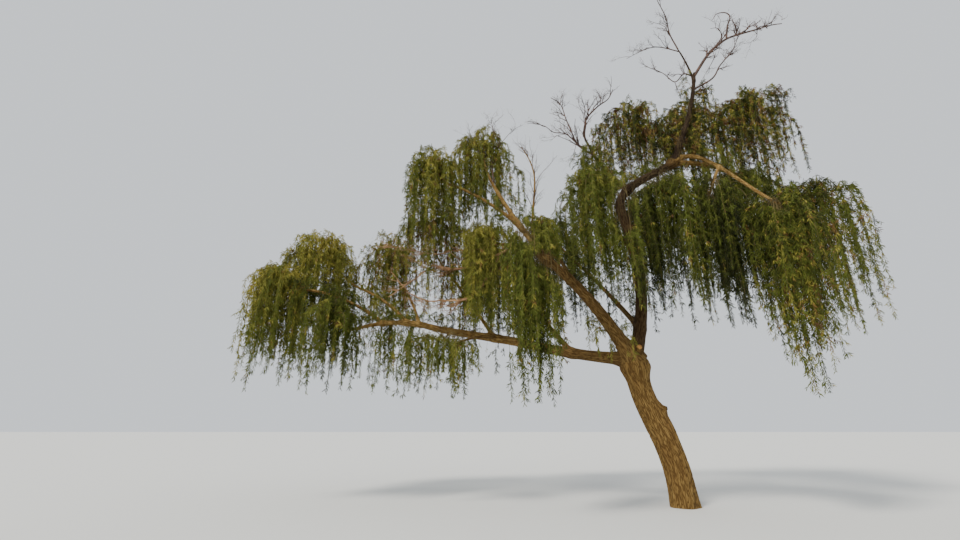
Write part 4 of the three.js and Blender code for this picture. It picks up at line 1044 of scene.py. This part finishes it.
# The dead tops: crooked bare limbs of dark reddish brown wood that go on from living ones, each through the
# places where the photo shows it, with finer twigs on three levels. Each row gives the limb that carries it
# and the share of that limb's length, or none where it leaves a dead limb, and its radius.
DEAD_LIMBS = [
    ("leader_top", 0.96, 0.046, [
        (2.36, 0, 11.77), (2.66, 0.05, 12.15), (3.19, 0.1, 12.62), (3.74, 0.2, 12.93), (4.35, 0.3, 13.22),
        (4.9, 0.4, 13.5), (5.3, 0.45, 13.62)]),
    (None, 0, 0.03, [
        (3.19, 0.1, 12.62), (3.45, 0.3, 13.33), (3.75, 0.5, 13.95), (3.7, 0.6, 14.25), (3.45, 0.65, 14.25),
        (3.3, 0.7, 14.05)]),
    (None, 0, 0.013, [(4.35, 0.3, 13.22), (4.18, 0.2, 12.79), (3.8, 0.1, 12.41)]),
    (None, 0, 0.018, [(2.66, 0.05, 12.15), (2.84, -0.2, 12.37), (2.66, -0.4, 12.49), (2.38, -0.5, 12.38)]),
    (None, 0, 0.015, [
        (2.36, 0, 11.77), (2.77, 0.2, 12.07), (2.8, 0.4, 12.02), (2.65, 0.5, 11.78), (2.36, 0.5, 11.3)]),
    (None, 0, 0.009, [(4.9, 0.4, 13.5), (5.05, 0.38, 13.8), (5.25, 0.4, 14.0)]),
    ("leader_top", 0.8, 0.026, [
        (2.29, -0.25, 10.82), (2.44, -0.45, 11.07), (2.65, -0.6, 11.3), (2.77, -0.75, 11.47),
        (2.9, -0.9, 11.85)]),
    ("leader_top", 0.95, 0.024, [
        (1.71, 0.1, 11.3), (1.51, 0.3, 11.19), (1.26, 0.45, 11.67), (0.78, 0.5, 11.98)]),
    (None, 0, 0.01, [(1.51, 0.3, 11.19), (1.6, 0.35, 10.85), (1.63, 0.3, 10.54)]),
    ("top_fork", 0.97, 0.023, [
        (1.42, -0.05, 12.67), (1.32, -0.2, 13.13), (1.04, -0.4, 13.61), (0.95, -0.45, 14.05)]),
    ("top_fork", 0.9, 0.018, [(0.93, -0.25, 11.95), (0.41, -0.45, 11.65), (-0.19, -0.6, 11.18)]),
    ("high_left", 0.96, 0.036, [
        (-1.26, 0.45, 9.36), (-1.25, 0.3, 9.64), (-1.21, 0.2, 9.84), (-0.9, 0.1, 10.15),
        (-0.61, 0.05, 10.36), (-0.45, 0, 10.66)]),
    ("high_left", 0.8, 0.034, [
        (-1.25, 0.7, 9.14), (-1.42, 0.8, 9.42), (-1.54, 0.9, 9.97), (-1.63, 1.0, 10.43), (-1.74, 1.1, 11.04),
        (-2.03, 1.1, 11.3)]),
    (None, 0, 0.02, [
        (-1.42, 0.8, 9.42), (-1.73, 0.7, 9.66), (-2.11, 0.6, 9.65), (-2.38, 0.5, 9.79), (-2.75, 0.5, 9.88)]),
    (None, 0, 0.01, [(-1.73, 0.7, 9.66), (-1.96, 0.9, 9.74), (-2.17, 0.95, 9.57)]),
    (None, 0, 0.009, [(-1.42, 0.8, 9.42), (-1.53, 0.85, 9.06), (-1.75, 0.9, 8.85)]),
    (None, 0, 0.01, [(-1.74, 1.1, 11.04), (-1.7, 1.2, 11.35), (-1.62, 1.3, 11.6)]),
    (None, 0, 0.01, [(-1.25, 0.3, 9.64), (-1.29, 0.3, 10.07), (-1.4, 0.2, 10.3), (-1.35, 0.2, 10.55)]),
    (None, 0, 0.009, [(-0.9, 0.1, 10.15), (-0.85, 0.3, 10.55), (-0.86, 0.4, 10.8)]),
    ("high_left", 0.7, 0.016, [(-0.58, 0.5, 8.62), (-0.46, 0.4, 8.88), (-0.23, 0.3, 9.16)]),
    ("mid_left_rise", 0.98, 0.018, [(-3.93, -0.38, 7.95), (-3.87, -0.35, 8.71), (-3.94, -0.35, 9.35)]),
    (None, 0, 0.01, [(-3.9, -0.37, 8.3), (-3.61, -0.35, 8.71), (-3.39, -0.35, 8.99), (-3.23, -0.3, 9.15)]),
    (None, 0, 0.01, [(-3.93, -0.38, 7.95), (-4.24, -0.35, 8.34), (-4.48, -0.3, 8.77), (-4.56, -0.3, 9.28)]),
]
SIDES = dict(per_metre=4.2, finer=(4, 2), along=(0.15, 0.97), length=0.85, varies=(0.4, 1), ahead=0.4,
             shorter=0.5, thinner=0.55, spread=0.9, up=0.35, lengths=(1.25, 0.6), widths=(1.1, 0.5), points=6)
DEAD_TIP, KINKS, SMOOTH, DEAD_SEED = 0.3, 0.02, 5, 5
DEAD_SIDES, DEAD_TONES = 5, ("33231b", "5e4335")
SNAG = dict(start=0.2, points=14, twigs=(13, 4, 2), length=1.0, radius=0.018)


def crooked(line, draws):
    """A line of dead wood, kinked where it has lost side twigs, between its own two ends."""
    kinks = draws.normal(0, KINKS, line.shape).cumsum(axis=0)
    share = np.linspace(0, 1, len(line))[:, None]
    return line + (kinks - kinks[0]) - share * (kinks[-1] - kinks[0])


def through(places, count):
    """A smooth line through some places."""
    places = [2 * places[0] - places[1], *places, 2 * places[-1] - places[-2]]
    line = []
    for a, b, c, d in zip(places, places[1:], places[2:], places[3:]):
        for t in np.arange(count) / count:
            line.append(b + t * (c - a) / 2 + t * t * (2 * a - 5 * b + 4 * c - d) / 2
                        + t ** 3 * (3 * b - a - 3 * c + d) / 2)
    return np.array([*line, places[-2]])


def branching(line, thick, length, counts, draws):
    """A dead twig and the finer twigs that leave it ahead and upwards, each with finer ones of its own."""
    made = [(line, thick)]
    for _ in range(counts[0] if counts else 0):
        s = draws.uniform(*SIDES["along"])
        root = line[int(s * (len(line) - 1))]
        along = unit(line[min(int(s * (len(line) - 1)) + 1, len(line) - 1)] - line[0])
        turn = draws.uniform(0, 2 * math.pi)
        aside = np.array((math.cos(turn), math.sin(turn), SIDES["up"])) * SIDES["spread"]
        reach = length * draws.uniform(*SIDES["varies"]) * (SIDES["lengths"][0] - SIDES["lengths"][1] * s)
        tip = root + unit(along + aside) * reach
        twig = crooked(bend(root, root + along * reach * SIDES["ahead"], tip, SIDES["points"]), draws)
        finer = thick * SIDES["thinner"] * (SIDES["widths"][0] - SIDES["widths"][1] * s)
        made += branching(twig, finer, length * SIDES["shorter"], counts[1:], draws)
    return made


def bare_twigs(name, lines, sides, material, nodes):
    """One piece of bare lines, each thinner towards its tip, in place of some nodes."""
    bare = []
    for line, thick in lines:
        none = np.zeros(len(line))
        taper = 1 - (1 - DEAD_TIP) * np.linspace(0, 1, len(line))
        bare.append({"points": line, "thick": thick * taper, "leafy": none, "shade": none})
    piece = grown(name, line_mesh(name, bare), twig_tree(name, sides, material), {"Thickness": 1.0})
    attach(piece, "root")
    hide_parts(*nodes)


dead_draws = np.random.default_rng(DEAD_SEED)
dead_lines = []
for name, s, radius, places in DEAD_LIMBS:
    start = [limbs[name].points(s)[0]] if name else []
    line = through([*start, *np.array(places, float)], SMOOTH)
    length = np.linalg.norm(np.diff(line, axis=0), axis=1).sum()
    counts = (round(length * SIDES["per_metre"]), *SIDES["finer"])
    branched = branching(line, radius, SIDES["length"], counts, dead_draws)
    dead_lines += [(twig, thick) for twig, thick in branched if within_reach(twig).all()]
snag = limbs["bare_snag"].points(np.linspace(SNAG["start"], 1, SNAG["points"]))
dead_lines += branching(snag, SNAG["radius"], SNAG["length"], SNAG["twigs"], dead_draws)[1:]
bare_twigs("dead_twigs_bark", dead_lines, DEAD_SIDES, twig_material("dead_bark", DEAD_TONES),
           ["dead_twigs_left", "dead_twigs_top_left", "dead_twigs_top_right"])


# Thin bare boughs of reddish tan wood that leave the mid left limb's end and cross the open part of the crown
# far left, each through four places, with finer twigs by the same rule. Each row gives its place on the limb
# and its radius. They are smooth, so each is a plain tapering tube.
THIN_BOUGHS = [
    (0.85, 0.03, [(-4.3, -0.3, 4.5), (-5.2, 0, 4.41), (-5.86, 0.2, 4.59), (-6.5, 0.4, 5.3)]),
    (0.6, 0.03, [(-4.7, -0.3, 5.1), (-5.37, 0, 5.25), (-6.04, 0.2, 4.88), (-6.5, 0.3, 4.6)]),
    (0.95, 0.024, [(-4.6, -0.2, 5.6), (-5.4, 0.1, 5.6), (-6.4, 0.3, 5.93), (-6.95, 0.4, 6.0)]),
    (0.75, 0.02, [(-4.75, 0.2, 5.25), (-5.2, 0.3, 5.2), (-5.65, 0.3, 5.38), (-6.1, 0.3, 5.7)]),
    (0.5, 0.018, [(-4.24, 0.1, 4.75), (-4.73, 0.3, 4.44), (-4.97, 0.4, 4.17), (-5.23, 0.4, 4.05)]),
]
THIN_TWIGS, THIN_SIDES, THIN_TONES = (14, 3), 7, ("7d5a3c", "b08a60")
thin_lines = []
for s, radius, places in THIN_BOUGHS:
    line = through([limbs["mid_left_low"].points(s)[0], *np.array(places, float)], SMOOTH)
    thin_lines += branching(crooked(line, dead_draws), radius, SIDES["length"], THIN_TWIGS, dead_draws)
bare_twigs("thin_boughs_bark", thin_lines, THIN_SIDES, twig_material("thin_bough_bark", THIN_TONES),
           ["mid_left_low"])


# The studio: a plain pale floor, a pale sky and one large soft sun from the upper left, with the camera at
# the photo's own standpoint, at eye height and looking up into the crown.
FLOOR_HALF, FLOOR_TONE, SKY_TONE = 400.0, "dcdcd8", "e8edf2"
LENS, FILM_WIDTH, LOOKING_UP, FAR_CLIP = 17.0, 36.0, 19.453, 1000
SKY_STRENGTH, SUN_STRENGTH, SUN_WIDTH, SUN_WAY = 1.1, 3.2, 14, (0.55, 0.6, -0.8)
floor = bpy.data.meshes.new("floor")
corners = [(x * FLOOR_HALF, y * FLOOR_HALF, 0) for x, y in ((-1, -1), (1, -1), (1, 1), (-1, 1))]
floor.from_pydata(corners, [], [(0, 1, 2, 3)])
floor_piece = bpy.data.objects.new("floor", floor)
bpy.context.scene.collection.objects.link(floor_piece)
floor_look = {"Base Color": (*colour(FLOOR_TONE), 1), "Roughness": 0.9}
floor.materials.append(material_of("pale_floor", lambda tree: floor_look))

world = bpy.data.worlds.new("pale_sky")
bpy.context.scene.world = world
world.use_nodes = True
Socket(world.node_tree).feed(world.node_tree.nodes["Background"], {
    "Color": (*colour(SKY_TONE), 1), "Strength": SKY_STRENGTH})

sun = bpy.data.lights.new("soft_sun", "SUN")
sun.energy = SUN_STRENGTH
sun.angle = math.radians(SUN_WIDTH)
sun.color = (1.0, 0.95, 0.86)
sun_object = bpy.data.objects.new("soft_sun", sun)
bpy.context.scene.collection.objects.link(sun_object)
sun_object.rotation_mode = "QUATERNION"
sun_object.rotation_quaternion = Vector(SUN_WAY).to_track_quat("-Z", "Y")

camera = bpy.data.cameras.new("camera")
camera.lens, camera.sensor_width = LENS, FILM_WIDTH
camera.clip_end = FAR_CLIP
camera_object = bpy.data.objects.new("camera", camera)
bpy.context.scene.collection.objects.link(camera_object)
camera_object.location = EYE
camera_object.rotation_euler = (math.radians(90 + LOOKING_UP), 0, 0)
bpy.context.scene.camera = camera_object
